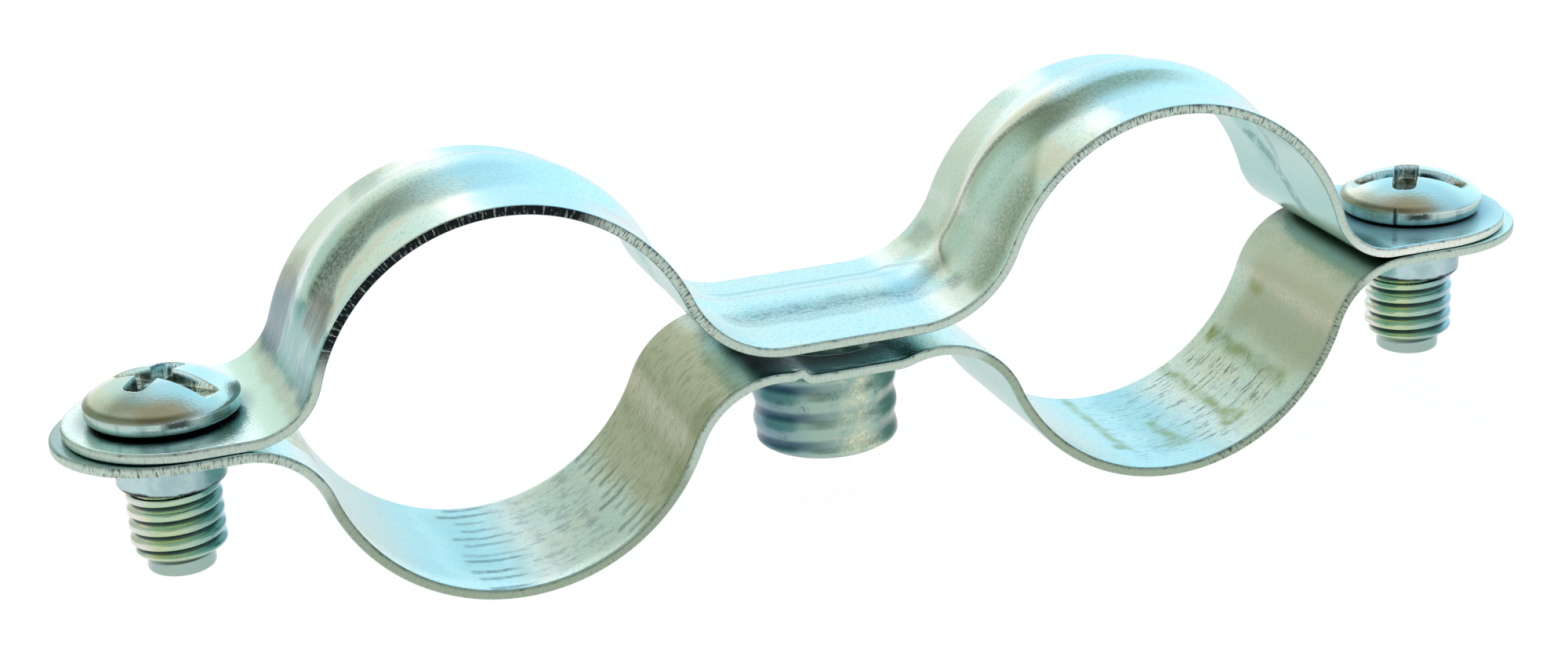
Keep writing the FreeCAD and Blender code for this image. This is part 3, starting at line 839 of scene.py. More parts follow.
class Finish(Nodes):
    """A zinc-plated finish: a metal surface with fine plating grain."""

    def __init__(self, name):
        self.material = bpy.data.materials.new(name)
        self.material.use_nodes = True
        super().__init__(self.material.node_tree)
        self.shader = self.tree.nodes["Principled BSDF"]
        self.drifts = {}

    def plate(self, base, roughness, height, metallic=1.0):
        """Gives the surface what varies over it; the height is in hundredths of a millimetre."""
        bump = self.add("ShaderNodeBump", sockets={"Distance": BUMP_UNIT, "Height": height})
        self.put(self.shader.inputs["Base Color"], base)
        self.put(self.shader.inputs["Metallic"], metallic)
        self.put(self.shader.inputs["Roughness"], roughness)
        self.put(self.shader.inputs["Normal"], bump)
        return self.material

    def millimetres(self):
        """Place in the clip's frame, in millimetres."""
        return [part / MM for part in self.parts(self.place())]

    def mottle(self):
        """Clouds a few millimetres across."""
        return self.step(self.noise(self.place(), MOTTLE_SCALE, 3.0), *MOTTLE_RANGE)

    def grain(self):
        """Fine grain of the plating."""
        return self.noise(self.place(), GRAIN_SCALE, 3.0, GRAIN_ROUGH)

    def line(self, value, start, rate, level):
        """A straight line that has a level at its start and a rate from there."""
        return (value - start) * rate + level

    def drifted(self, name):
        """A strip coordinate that sways a little, so that what it bounds has an uneven border."""
        if name not in self.drifts:
            along = self.kept("along") * DRIFT_SCALE
            across = self.kept("across") * DRIFT_SCALE
            sway = self.noise(self.vector(along, across, DRIFT_SEED[name]), 1.0, 1.0) - 0.5
            self.drifts[name] = self.kept(name) + DRIFT_REACH * sway
        return self.drifts[name]

    def window(self, low, high, soft_along, near, far, soft_across):
        """1 inside a stretch of the strip, with uneven borders: lengths along it and places across it."""
        along = self.band(self.drifted("along"), low, high, soft_along)
        return along * self.band(self.drifted("across"), near, far, soft_across)

    def speckle(self, along_scale, across_scale, low, high):
        """Flecks in the strip's own lengths, so many to a millimetre along it and across it."""
        vector = self.vector(self.kept("along") * along_scale, self.kept("across") * across_scale, 0.0)
        return self.step(self.noise(vector, 1.0, 3.0, 0.6), low, high)

    def tears(self, along_scale, through_scale, seed, detail, rough, low, high):
        """Tears in a cut edge, so many to a millimetre along it and through it."""
        vector = self.vector(self.kept("along") * along_scale, self.kept("through") * through_scale, seed)
        return self.step(self.noise(vector, 1.0, detail, rough), low, high)

    def chance(self, row, seed):
        """A fixed number between 0 and 1 for each whole number of a row."""
        return self.add("ShaderNodeTexWhiteNoise", {"noise_dimensions": "1D"}, {"W": row + seed})

    def patched(self, base, patches):
        """Lays patches over a colour: the window of each, its share of the mix and its colour."""
        for *area, share, shade in patches:
            base = self.mix(self.window(*area) * share, base, shade)
        return base


# Colours of plating and stains, and of painted shade, painted shadow, painted reflections and painted
# highlights
COOL_ZINC = colour(0.76, 0.92, 0.94)
WARM_ZINC = colour(0.86, 0.91, 0.85)
GRAIN_ZINC = colour(0.36, 0.45, 0.43)
# Teal of the under faces: a plating tint made darker than the upper faces as painted shade of the faces
# that look down; also a random tint on the threads
UNDER_TINT_AND_SHADE = colour(0.36, 0.60, 0.56)
UNDER_CREASE_SHADE = colour(0.12, 0.28, 0.28)
# Painted blue reflection of the bright sky: on patches of both straps, on the flange by the right head and
# on the top of each head's dome
PAINTED_BLUE_REFLECTION = colour(0.54, 0.84, 0.98)
# Painted dark reflection on the left rib's slope
PAINTED_DARK_REFLECTION = colour(0.13, 0.14, 0.11)
# Painted tan reflection: the light patch below the left rib's slope, the rim of the right slope's border,
# patches on both straps and a band on each head's shoulder
PAINTED_TAN_REFLECTION = colour(0.84, 0.72, 0.60)
# Painted green and dim reflections on the right rib's slope and on patches
PAINTED_GREEN_REFLECTION = colour(0.52, 0.60, 0.48)
PAINTED_DIM_REFLECTION = colour(0.20, 0.24, 0.18)
# Painted highlight: white patches on the upper strap's arches and bridge, and on the lower strap's torn lip
PAINTED_HIGHLIGHT = colour(0.98, 0.98, 0.96)
# Painted reflections in mint, sea, sky and slate, and an olive that is partly a plating tint and partly
# painted reflection
PAINTED_MINT_REFLECTION = colour(0.80, 1.0, 1.0)
PAINTED_SEA_REFLECTION = colour(0.11, 0.36, 0.35)
PAINTED_SKY_REFLECTION = colour(0.35, 0.62, 0.64)
PAINTED_SLATE_REFLECTION = colour(0.07, 0.14, 0.20)
OLIVE_TINT_AND_REFLECTION = colour(0.50, 0.47, 0.33)
EDGE_PALE = colour(0.58, 0.69, 0.61)
EDGE_BRIGHT = colour(0.88, 0.93, 0.85)
EDGE_OLIVE = colour(0.37, 0.46, 0.35)
EDGE_GREY = colour(0.07, 0.09, 0.09)
EDGE_BLACK = colour(0.012, 0.016, 0.018)
EDGE_TEAR = colour(0.34, 0.40, 0.38)
STAIN = colour(0.17, 0.22, 0.07)
MOSS = colour(0.30, 0.33, 0.03)
RUN_OLIVE = colour(0.27, 0.33, 0.11)
STREAK = colour(0.10, 0.16, 0.18)
# Painted shade along the border of the right rib's slope
CREASE_SHADE = colour(0.20, 0.18, 0.13)
# Painted shadow and shade: black laid in the gaps under the heads and between the straps, at the lips of
# the socket and collars, under the heads' rims and in a head's nick; on a head's rim it is a painted dark
# reflection
PAINTED_SHADE_BLACK = colour(0.012, 0.02, 0.022)
SHADE = colour(0.10, 0.12, 0.09)
TEAL_SHADE = colour(0.07, 0.21, 0.25)
THREAD_ZINC = colour(0.50, 0.60, 0.37)
# Painted reflections on the thread's sides, and painted shade in its grooves that also darkens grain
THREAD_TEAL_REFLECTION = colour(0.20, 0.38, 0.38)
THREAD_BLUE_REFLECTION = colour(0.46, 0.60, 0.72)
THREAD_PINK_REFLECTION = colour(0.82, 0.76, 0.70)
GROOVE_SHADE_AND_GRAIN = colour(0.05, 0.08, 0.08)
POINT_ZINC = colour(0.33, 0.45, 0.42)
SOCKET_ZINC = colour(0.34, 0.49, 0.42)
# Socket: painted blue reflection, painted shade in the grooves, painted highlight flecks, and a colour for
# painted shade and random dim clouds
SOCKET_BLUE_REFLECTION = colour(0.15, 0.27, 0.33)
SOCKET_GROOVE_SHADE = colour(0.04, 0.09, 0.14)
SOCKET_HIGHLIGHT = colour(0.82, 0.80, 0.54)
SOCKET_SHADE_AND_DIM_TONE = colour(0.10, 0.17, 0.16)
COLLAR_ZINC = colour(0.50, 0.66, 0.68)
# Head: painted shade on the rim wall
RIM_WALL_SHADE = colour(0.36, 0.50, 0.45)
BLUE_SHADE = colour(0.34, 0.62, 0.80)
# Head: painted shade in the recess and a painted dark reflection on the shoulder
RECESS_SHADE = colour(0.10, 0.13, 0.10)
SHOULDER_DARK_REFLECTION = colour(0.17, 0.17, 0.09)

# Patches of painted reflection, painted highlight and painted shade on the upper strap: lengths along it
# and fade, places across it and fade, share and colour
UPPER_PAINTED_REFLECTIONS = (
    (-40.6, -38.2, 0.9, -6.0, 6.0, 0.5, 0.75, PAINTED_MINT_REFLECTION),
    (-38.0, -37.4, 0.6, -6.0, 6.0, 1.0, 0.35, OLIVE_TINT_AND_REFLECTION),
    (-36.8, -33.4, 0.7, -6.0, 6.0, 0.5, 0.85, PAINTED_SEA_REFLECTION),
    (-36.6, -33.6, 1.4, 2.8, 6.0, 2.0, 0.8, PAINTED_SLATE_REFLECTION),
    (-37.0, -36.2, 0.7, -6.0, -3.4, 1.5, 0.35, PAINTED_SLATE_REFLECTION),
    (-33.7, -32.4, 0.7, -4.6, -1.4, 1.2, 0.75, PAINTED_DARK_REFLECTION),
    (-33.2, -32.0, 1.4, 3.2, 6.0, 1.6, 0.55, OLIVE_TINT_AND_REFLECTION),
    (-31.0, -28.6, 1.5, 2.4, 6.0, 1.5, 0.65, PAINTED_HIGHLIGHT),
    (-27.8, -26.4, 0.9, 3.4, 6.0, 0.8, 0.3, PAINTED_DIM_REFLECTION),
    (-24.7, -23.3, 0.5, -5.1, -3.1, 0.7, 0.85, PAINTED_HIGHLIGHT),
    (-25.0, -23.0, 0.5, 4.0, 6.0, 0.8, 0.8, PAINTED_HIGHLIGHT),
    (-22.8, -18.0, 1.0, -6.0, 6.0, 0.5, 0.45, PAINTED_BLUE_REFLECTION),
    (-17.0, -8.0, 1.5, -6.0, 6.0, 0.5, 0.2, PAINTED_BLUE_REFLECTION),
    (4.4, 6.3, 0.8, -2.0, 2.6, 0.9, 0.55, PAINTED_BLUE_REFLECTION),
    (5.7, 7.2, 0.7, -5.2, -2.8, 0.8, 0.55, PAINTED_HIGHLIGHT),
    (5.4, 7.0, 0.6, 4.2, 6.0, 1.0, 0.5, PAINTED_HIGHLIGHT),
    (7.4, 8.6, 0.8, 3.2, 4.6, 0.8, 0.35, PAINTED_DIM_REFLECTION),
    (9.6, 15.6, 1.2, 3.6, 6.0, 1.0, 0.6, PAINTED_HIGHLIGHT),
    (14.8, 16.2, 0.6, -5.0, -2.8, 0.9, 0.5, PAINTED_TAN_REFLECTION),
    (18.3, 19.3, 0.5, -4.9, -3.0, 0.7, 0.85, PAINTED_HIGHLIGHT),
    (17.9, 19.2, 0.5, 1.2, 6.0, 0.9, 0.6, PAINTED_HIGHLIGHT),
    (20.0, 37.0, 1.0, -6.0, 6.0, 0.5, 0.3, PAINTED_BLUE_REFLECTION),
    (38.4, 44.0, 1.0, -6.0, 6.0, 0.5, 0.5, PAINTED_BLUE_REFLECTION),
)

# Sheared edges: tears to a millimetre along and through, seed, detail, roughness and thresholds
LONG_TEARS = (6.0, 1.2, 0.0, 4.0, 0.65, 0.53, 0.63)
FINE_TEARS = (13.0, 2.0, 9.0, 2.0, 0.5, 0.52, 0.62)
CORNER_FLECKS = (2.2, 3.0, 4.0, 4.0, 0.7, 0.5, 0.66)
EDGE_CORNER = (0.1, 0.16)
CUT_RIM = (0.055, 0.025)
UPPER_FACE = (-0.02, 0.02)


def sheet_zinc(finish):
    """Grainy zinc, mottled in cool and warm clouds: its colour, its grain and its height."""
    grain = finish.grain()
    zinc = finish.mix(finish.mottle(), COOL_ZINC, WARM_ZINC)
    zinc = finish.mix(finish.step(grain, 0.5, 0.7) * 0.45, zinc, GRAIN_ZINC)
    waves = finish.noise(finish.place(), WAVE_SCALE, 2.0)
    return zinc, grain, 1.6 * grain + 4.0 * waves


def cut_edge(finish, plain, black, ticked):
    """A sheared edge: fine tears through the thickness, light on the black stretches and dark elsewhere."""
    tears = finish.tears(*LONG_TEARS)
    marks = tears + finish.tears(*FINE_TEARS)
    fresh = finish.mix(marks * (0.15 + 0.6 * ticked), plain, EDGE_GREY)
    corner = finish.step(finish.kept("through"), *EDGE_CORNER)
    fresh = finish.mix(corner * (0.15 + 0.6 * finish.tears(*CORNER_FLECKS)), fresh, EDGE_GREY)
    torn = finish.mix(tears * 0.8, EDGE_BLACK, EDGE_TEAR)
    return finish.mix(black, fresh, torn)


def head_reach(finish):
    """Distance from the nearer screw's axis."""
    x, y, _ = finish.millimetres()
    left, right = (finish.length(x - centre, y) for centre in SCREW_X.values())
    return left.maths("MINIMUM", left, right)


# Painted dark reflection on the slope of the left arch's rib: its lower border as a line's start, rate and
# level, and its highest level;
# where along the strip the slope begins and fades, and the painted light patch below it
LEFT_FOOT = (-33.0, 0.45, -4.3)
LEFT_TOP = -1.8
LEFT_BEGINS = (-33.6, -32.4)
LEFT_FADES = (-24.2, -30.6)
LEFT_PAINTED_LIGHT = (-32.0, -27.0, 1.0)

# Painted reflection on the slope of the right arch's rib: its upper border as a hump's place, level and
# curve, which levels out and starts on a steep line; its lower border, a line between two levels; where the
# slope begins and fades
RIGHT_HUMP = (8.5, 1.8, 0.0247)
RIGHT_LEVEL = -0.3
RIGHT_RISE = (7.4, 2.3, -0.6)
RIGHT_FOOT = (14.0, 1.25, -4.9)
RIGHT_LOWEST = -5.6
RIGHT_HIGHEST = -2.0
RIGHT_BEGINS = (6.9, 7.7)
RIGHT_FADES = (27.0, 22.0)
RIGHT_MIDDLE_FADES = (18.0, 14.5)
RIGHT_BORDER = (7.4, 17.2, 1.6)
RIGHT_BORDER_SIDE = (-1.6, 0.6)
RIGHT_DEEP = (8.2, 13.4, 1.6)
RIGHT_DEEP_SIDE = (-1.6, -4.0)
RIGHT_TAIL = (15.4, 18.4)


def left_slope(finish):
    """Painted dark reflection on the front slope of the left arch's rib, narrow towards its top, and the
    painted light patch below it.
    """
    along = finish.kept("along")
    foot = finish.line(along, *LEFT_FOOT)
    foot = foot.maths("SMOOTH_MIN", foot, LEFT_TOP, 1.0)
    over = finish.drifted("across") - foot
    dark = finish.step(over, -0.5, 0.7) * finish.step(finish.kept("across"), 0.0, -0.8)
    dark = dark * finish.step(along, *LEFT_BEGINS) * finish.step(along, *LEFT_FADES)
    return dark, finish.band(over, -1.1, -0.6, 0.6) * finish.band(along, *LEFT_PAINTED_LIGHT)


def right_slope(finish):
    """Painted green and dim reflection on the front slope of the right arch's rib, lighter in its middle,
    with a painted crease shade at its border and a painted tan reflection on the border's rim.
    """
    along = finish.kept("along")
    across = finish.kept("across")
    place, level, curve = RIGHT_HUMP
    top = level - (along - place) * (along - place) * curve
    top = top.maths("SMOOTH_MAX", top, RIGHT_LEVEL, 0.8)
    top = top.maths("SMOOTH_MIN", top, finish.line(along, *RIGHT_RISE), 1.6)
    foot = finish.line(along, *RIGHT_FOOT)
    foot = foot.maths("MAXIMUM", foot, RIGHT_LOWEST)
    foot = foot.maths("SMOOTH_MIN", foot, RIGHT_HIGHEST, 0.8)
    under = top - across
    over = across - foot
    dull = finish.step(under, 0.0, 0.5) * finish.step(over, -0.5, 0.8)
    dull = dull * finish.step(along, *RIGHT_BEGINS) * finish.step(along, *RIGHT_FADES)
    middle = finish.step(under, 0.3, 1.7) * finish.step(over, 0.5, 2.2)
    middle = middle * finish.step(along, *RIGHT_MIDDLE_FADES)
    ends = finish.band(along, *RIGHT_BORDER) * finish.step(across, *RIGHT_BORDER_SIDE)
    border = finish.band(under, 0.05, 0.3, 0.3) * ends
    rim = finish.band(under, -0.8, -0.4, 0.35) * ends
    return dull, middle, border, rim


def arch_slopes(finish, body, sandy):
    """Lays painted reflections and a painted crease shade on the sandy slopes of both arches over a colour.
    """
    along = finish.kept("along")
    dark, glow = left_slope(finish)
    body = finish.mix(glow * 0.55, body, PAINTED_TAN_REFLECTION)
    body = finish.mix(dark * (0.62 + 0.38 * sandy), body, PAINTED_DARK_REFLECTION)
    dull, middle, border, rim = right_slope(finish)
    deep = finish.step(finish.kept("across"), *RIGHT_DEEP_SIDE) * finish.band(along, *RIGHT_DEEP)
    tail = finish.step(along, *RIGHT_TAIL)
    # dull marks the painted reflection on the right slope; border marks its painted crease shade
    body = finish.mix(dull * (0.8 - 0.6 * middle), body, PAINTED_GREEN_REFLECTION)
    body = finish.mix(dull * (0.7 * deep + 0.6 * tail) * (0.4 + 0.6 * sandy), body, PAINTED_DIM_REFLECTION)
    body = finish.mix(rim * 0.55, body, PAINTED_TAN_REFLECTION)
    return finish.mix(border * (0.45 + 0.4 * sandy), body, CREASE_SHADE)


# Marks and painted shade on the upper strap: windows, and stretches along and across it with their fades
FOOT_STREAKS = (-36.9, -33.2, 0.8, -6.0, 6.0, 0.5)
BRIDGE_SCUFF = (-5.6, 5.2, 0.8, -2.0, -0.8, 0.6)
BRIDGE_LINE = (-5.4, 5.0, 0.5, -1.3, -1.0, 0.25)
PIT_PLACE = (6.9, 7.4, 0.5)
PIT_SIDE = (-3.1, -2.3, 0.6)
MARGIN_CURVE = 0.16
MARGIN_CURL = (6.85, 7.05, 0.3)
MARGIN_CURL_SIDE = (0.6, 3.2, 0.4)
MARGIN_RUN = (-5.0, 5.0, 0.6)
MARGIN_SIDE = (3.25, 3.4, 0.25)
# Painted shade along the crease inside the right arch
FOLD_LINE = (33.5, 0.86, 0.0)
FOLD_SIDE = (0.8, 1.5, 0.4)
FOLD_RUN = (32.4, 36.6, 0.8)
BLACK_EDGE = (-33.6, -18.6, 2.2)
UPPER_TICKS = ((-18.5, -9.0, 1.5), (15.8, 30.0, 2.5))
BRIGHT_EDGE = (36.5, 40.0)
RIGHT_HALF = (-1.0, 1.0)

# How far past a head's edge the flange is duller with a painted sky reflection and has painted shade, and
# where the painted shadow of the gap under the head ends
HEAD_DULL = 2.2
HEAD_SHADE = (0.9, -0.2)
HEAD_SHADOW_GAP = (-0.1, -0.4)


def bridge_marks(finish, body, sandy):
    """Lays the bridge's scuffs, its pits and the fine line along its margin over a colour."""
    along = finish.kept("along")
    across = finish.kept("across")
    body = finish.mix(finish.window(*BRIDGE_SCUFF) * (0.15 + 0.25 * sandy), body, STREAK)
    ragged = finish.window(*BRIDGE_LINE) * finish.speckle(1.6, 5.0, 0.44, 0.62)
    body = finish.mix(ragged * 0.4, body, STREAK)
    pits = finish.band(along, *PIT_PLACE) * finish.band(across, *PIT_SIDE)
    body = finish.mix(pits * (0.25 + 0.35 * sandy), body, STREAK)
    curl = along + across * across * MARGIN_CURVE
    margin = finish.band(curl, *MARGIN_CURL) * finish.band(across, *MARGIN_CURL_SIDE)
    margin = margin + finish.band(along, *MARGIN_RUN) * finish.band(across, *MARGIN_SIDE)
    return finish.mix(margin * 0.25, body, STREAK)


def upper_under(finish):
    """Under face of the upper strap: teal with painted shade, and a ragged painted shade along the crease
    inside the right arch.
    """
    along = finish.kept("along")
    off = finish.kept("across") + finish.line(along, *FOLD_LINE)
    crease_line_shade = finish.band(off, *FOLD_SIDE) * finish.band(along, *FOLD_RUN)
    return finish.mix(crease_line_shade * finish.speckle(1.2, 1.2, 0.36, 0.56) * 0.7, UNDER_TINT_AND_SHADE, UNDER_CREASE_SHADE)


def upper_finish():
    """Zinc of the upper strap: painted reflections and highlights, a painted dark reflection on the front
    slope of each arch, painted shade round the heads, scuffs on the bridge and a sheared edge.
    """
    finish = Finish("upper_strap_zinc")
    along = finish.kept("along")
    zinc, grain, height = sheet_zinc(finish)
    sandy = finish.speckle(5.0, 5.0, 0.36, 0.66)
    body = finish.patched(zinc, UPPER_PAINTED_REFLECTIONS)
    streaks = finish.window(*FOOT_STREAKS) * finish.speckle(0.3, 2.0, 0.5, 0.7)
    body = finish.mix(streaks * 0.3, body, COOL_ZINC)
    body = arch_slopes(finish, body, sandy)
    body = bridge_marks(finish, body, sandy)
    past = head_reach(finish) - HEAD_RADIUS
    right = finish.step(along, *RIGHT_HALF)
    # By the right head the flange is rougher and less metallic, with a painted blue sky reflection; painted
    # shade and a painted black shadow lie round each head
    dulled_with_sky_reflection = finish.step(past, HEAD_DULL, 0.0) * right
    body = finish.mix(dulled_with_sky_reflection * 0.7, body, PAINTED_BLUE_REFLECTION)
    body = finish.mix(finish.step(past, *HEAD_SHADE) * 0.7, body, finish.mix(right, TEAL_SHADE, BLUE_SHADE))
    body = finish.mix(finish.step(past, *HEAD_SHADOW_GAP), body, PAINTED_SHADE_BLACK)
    body = finish.mix(finish.step(finish.kept("through"), *UPPER_FACE), upper_under(finish), body)
    ticked, more = (finish.band(along, *stretch) for stretch in UPPER_TICKS)
    plain = finish.mix(finish.step(along, *BRIGHT_EDGE), EDGE_PALE, EDGE_BRIGHT)
    edge = cut_edge(finish, plain, finish.band(along, *BLACK_EDGE), ticked + more)
    cut = finish.step(finish.kept("rim"), *CUT_RIM)
    base = finish.mix(cut, body, edge)
    return finish.plate(base, 0.14 + 0.25 * cut + 0.1 * grain + 0.22 * dulled_with_sky_reflection, height, 1.0 - 0.4 * dulled_with_sky_reflection)


# Stains that run across the right saddle: place along it, half width, far and near ends, foot's spread
RUN_STAINS = (
    (20.4, 0.24, 5.4, -2.7, 0.25),
    (23.6, 0.24, 0.2, -3.2, 0.4),
    (27.2, 0.26, 5.4, -3.5, 0.4),
    (30.7, 0.34, 4.7, -3.9, 0.10),
)

# Patches on the lower strap, as on the upper one: painted reflections and painted shade, with some stains
# and grain
LOWER_REFLECTIONS_AND_STAINS = (
    (-36.0, -27.0, 1.5, -4.0, 6.0, 1.8, 0.7, PAINTED_SKY_REFLECTION),
    (-25.5, -22.0, 1.5, -3.6, 6.0, 1.8, 0.45, PAINTED_SKY_REFLECTION),
    (-27.0, -23.4, 2.4, -6.0, 6.0, 0.5, 0.2, PAINTED_BLUE_REFLECTION),
    (-24.8, -23.6, 1.4, -2.4, 4.4, 1.4, 0.2, PAINTED_SEA_REFLECTION),
    (-22.0, -20.6, 1.2, -4.6, 5.6, 1.2, 0.35, GRAIN_ZINC),
    (-20.0, -16.8, 1.6, -4.6, 5.0, 1.2, 0.5, GRAIN_ZINC),
    (-14.0, -7.0, 2.6, -6.0, 6.0, 0.5, 0.85, OLIVE_TINT_AND_REFLECTION),
    (-11.6, -9.8, 1.2, -6.0, 6.0, 0.5, 0.3, STAIN),
    (-13.0, -8.5, 1.0, -5.9, -4.6, 0.6, 0.4, STAIN),
    (15.0, 25.2, 1.5, -6.0, 6.0, 0.5, 0.28, PAINTED_SKY_REFLECTION),
    (20.0, 24.2, 1.2, -6.0, 6.0, 0.5, 0.2, PAINTED_BLUE_REFLECTION),
    (22.6, 24.4, 0.8, -3.4, 6.0, 1.2, 0.2, PAINTED_SEA_REFLECTION),
    (25.2, 26.8, 0.9, -6.0, 6.0, 0.5, 0.25, GRAIN_ZINC),
    (28.4, 32.0, 1.6, -6.0, 6.0, 0.5, 0.15, OLIVE_TINT_AND_REFLECTION),
    (32.8, 35.6, 2.0, -6.0, 2.8, 2.4, 0.7, OLIVE_TINT_AND_REFLECTION),
    (35.4, 37.2, 1.4, -6.0, 6.0, 0.5, 0.5, PAINTED_TAN_REFLECTION),
    # Painted shade by the crease at the top of the right saddle
    (37.8, 38.8, 1.7, -6.0, 6.0, 0.5, 0.4, STAIN),
    (34.5, 34.6, 0.7, 2.8, 3.2, 1.0, 0.5, MOSS),
    (30.6, 30.9, 0.6, 4.2, 4.3, 0.5, 0.75, MOSS),
)


# Run stains: how far they sway, how long the wedge at their near end is, their outer and inner half widths
RUN_SWAY = 0.7
RUN_WEDGE = 1.8
RUN_FADE = (2.4, 0.1)
RUN_END = 0.5

# Score marks: spacing, slant and stray of the rows, width of a mark, more of it at its start, and its core;
# for each group of rows its start and end along the strip, the spread of its ends and its seed
SCORE_SPACING = 1.08
SCORE_SLANT = 0.06
SCORE_STRAY = 0.4
SCORE_WIDTH = 0.16
SCORE_TAPER = 0.17
SCORE_CORE = 0.05
SCORES = ((-25.1, -21.5, 1.0, 0.0), (-16.9, -14.2, 0.9, 5.0))

# Short dashes: stretches along the strip with their fades and shares, and their place across it
DASHES = ((-19.2, -17.0, 0.5, 0.5), (21.0, 24.4, 0.8, 0.5), (25.2, 30.6, 0.8, 0.9))
DASH_SIDE = (-4.2, 4.8, 0.4)


def run_stains(finish):
    """Dried, blotchy runs across the strip that spread into a wedge at their near end."""
    along = finish.kept("along")
    across = finish.kept("across")
    sway = (finish.noise(finish.vector(along * 0.3, across * 0.7, 0.0), 1.0, 3.0) - 0.5) * RUN_SWAY
    outer, inner = RUN_FADE
    marks = 0.0
    for place, half_width, far, near, foot in RUN_STAINS:
        off = abs(along + sway - place) - finish.step(across, near + RUN_WEDGE, near) * foot
        run = finish.step(off, outer * half_width, inner * half_width)
        marks = marks + run * finish.band(across, near, far, RUN_END)
    return marks * (0.4 + 0.6 * finish.speckle(0.8, 0.9, 0.36, 0.62))


def scored_rows(finish, start, end, spread, seed):
    """Parallel score marks along the strip, each with its own start, end, place and depth."""
    along = finish.kept("along")
    level = (finish.kept("across") - (along - start) * SCORE_SLANT) / SCORE_SPACING
    row = level.maths("ROUND", level)
    bend = finish.noise(finish.vector(along * 0.8, row, seed), 1.0, 2.0) - 0.5
    off = abs(level - row + SCORE_STRAY * (bend + finish.chance(row, seed + 20.0) - 0.5))
    first = start + spread * finish.chance(row, seed)
    last = end - spread * finish.chance(row, seed + 40.0)
    taper = finish.step(along, end + 0.6, start + 0.2)
    reach = finish.step(along - first, -0.1, 0.3) * finish.step(along - last, 0.5, -0.7)
    ragged = 0.45 + 0.55 * finish.speckle(2.2, 4.0, 0.3, 0.56)
    depth = (0.4 + 0.6 * finish.chance(row, seed + 80.0)) * ragged
    return finish.step(off, SCORE_WIDTH + SCORE_TAPER * taper, SCORE_CORE) * reach * depth


def dashes(finish):
    """Scattered short score marks on the right part of the left saddle and on the right saddle."""
    shares = 0.0
    for *stretch, share in DASHES:
        shares = shares + finish.band(finish.kept("along"), *stretch) * share
    marks = finish.speckle(0.6, 3.6, 0.53, 0.63) * finish.speckle(2.4, 4.0, 0.3, 0.56)
    return marks * shares * finish.band(finish.kept("across"), *DASH_SIDE)


# Socket and collars: how far to the right their painted reflections, highlights and shade begin and end,
# and heights of the painted shadow at their dark lips
SOCKET_LEFT = (-0.2, -3.2)
SOCKET_DEEP = (1.2, -2.2)
SOCKET_RIGHT = (2.5, 3.5)
SOCKET_HIGHLIGHT_BAND = (1.0, 2.5, 1.0)
SOCKET_PITS = 0.65
SOCKET_CLOUDS = 800.0
SOCKET_LIP = (0.22, 0.06)
COLLAR_RIGHT = (0.9, 2.7)
COLLAR_CLOUDS = 900.0
COLLAR_LIP = (0.24, 0.08)
COLLAR_RAGGED = 0.5


def rightwards(x, y):
    """How far to the right a place lies, as the camera sees it."""
    return x * math.cos(CAMERA_AZIMUTH) + y * math.sin(CAMERA_AZIMUTH)


def socket_zinc(finish, x, y, z):
    """Drawn socket: painted blue reflection on its left, painted highlight flecks and painted shade on its
    right, painted shade in the thread's grooves and at its lip, and random dim clouds.
    """
    lateral = rightwards(x, y)
    shade = finish.mix(finish.step(lateral, *SOCKET_LEFT) * 0.85, SOCKET_ZINC, SOCKET_BLUE_REFLECTION)
    groove = finish.step(finish.kept("groove"), 0.5, 1.0)
    shade = finish.mix(groove * (0.2 + 0.75 * finish.step(lateral, *SOCKET_DEEP)), shade, SOCKET_GROOVE_SHADE)
    shade = finish.mix(finish.step(lateral, *SOCKET_RIGHT) * 0.7, shade, SOCKET_SHADE_AND_DIM_TONE)
    pitted = finish.noise(finish.place(), GRAIN_SCALE, 3.0, SOCKET_PITS)
    cloud = finish.noise(finish.place(), SOCKET_CLOUDS, 3.0)
    lit = finish.band(lateral, *SOCKET_HIGHLIGHT_BAND) * finish.step(cloud, 0.36, 0.7)
    shade = finish.mix(lit * (0.25 + 0.6 * finish.step(pitted, 0.4, 0.7)), shade, SOCKET_HIGHLIGHT)
    dim = finish.step(cloud, 0.46, 0.3) * finish.step(pitted, 0.6, 0.4)
    shade = finish.mix(dim * 0.65, shade, SOCKET_SHADE_AND_DIM_TONE)
    return finish.mix(finish.step(z - SOCKET_BOTTOM, *SOCKET_LIP), shade, PAINTED_SHADE_BLACK)


def collar_zinc(finish, x, y, z):
    """Drawn collar of a screw hole: light on its left, painted shade on its right, teal clouds, and a
    painted shadow at its ragged lip.
    """
    centre = SCREW_X["left"] + finish.step(x, *RIGHT_HALF) * (SCREW_X["right"] - SCREW_X["left"])
    cloud = finish.noise(finish.place(), COLLAR_CLOUDS, 3.0)
    shade = finish.mix(finish.step(cloud, 0.4, 0.7) * 0.3, COLLAR_ZINC, TEAL_SHADE)
    shade = finish.mix(finish.step(rightwards(x - centre, y), *COLLAR_RIGHT) * 0.55, shade, TEAL_SHADE)
    lip = z - COLLAR_BOTTOM + (cloud - 0.5) * COLLAR_RAGGED
    return finish.mix(finish.step(lip, *COLLAR_LIP), shade, PAINTED_SHADE_BLACK)


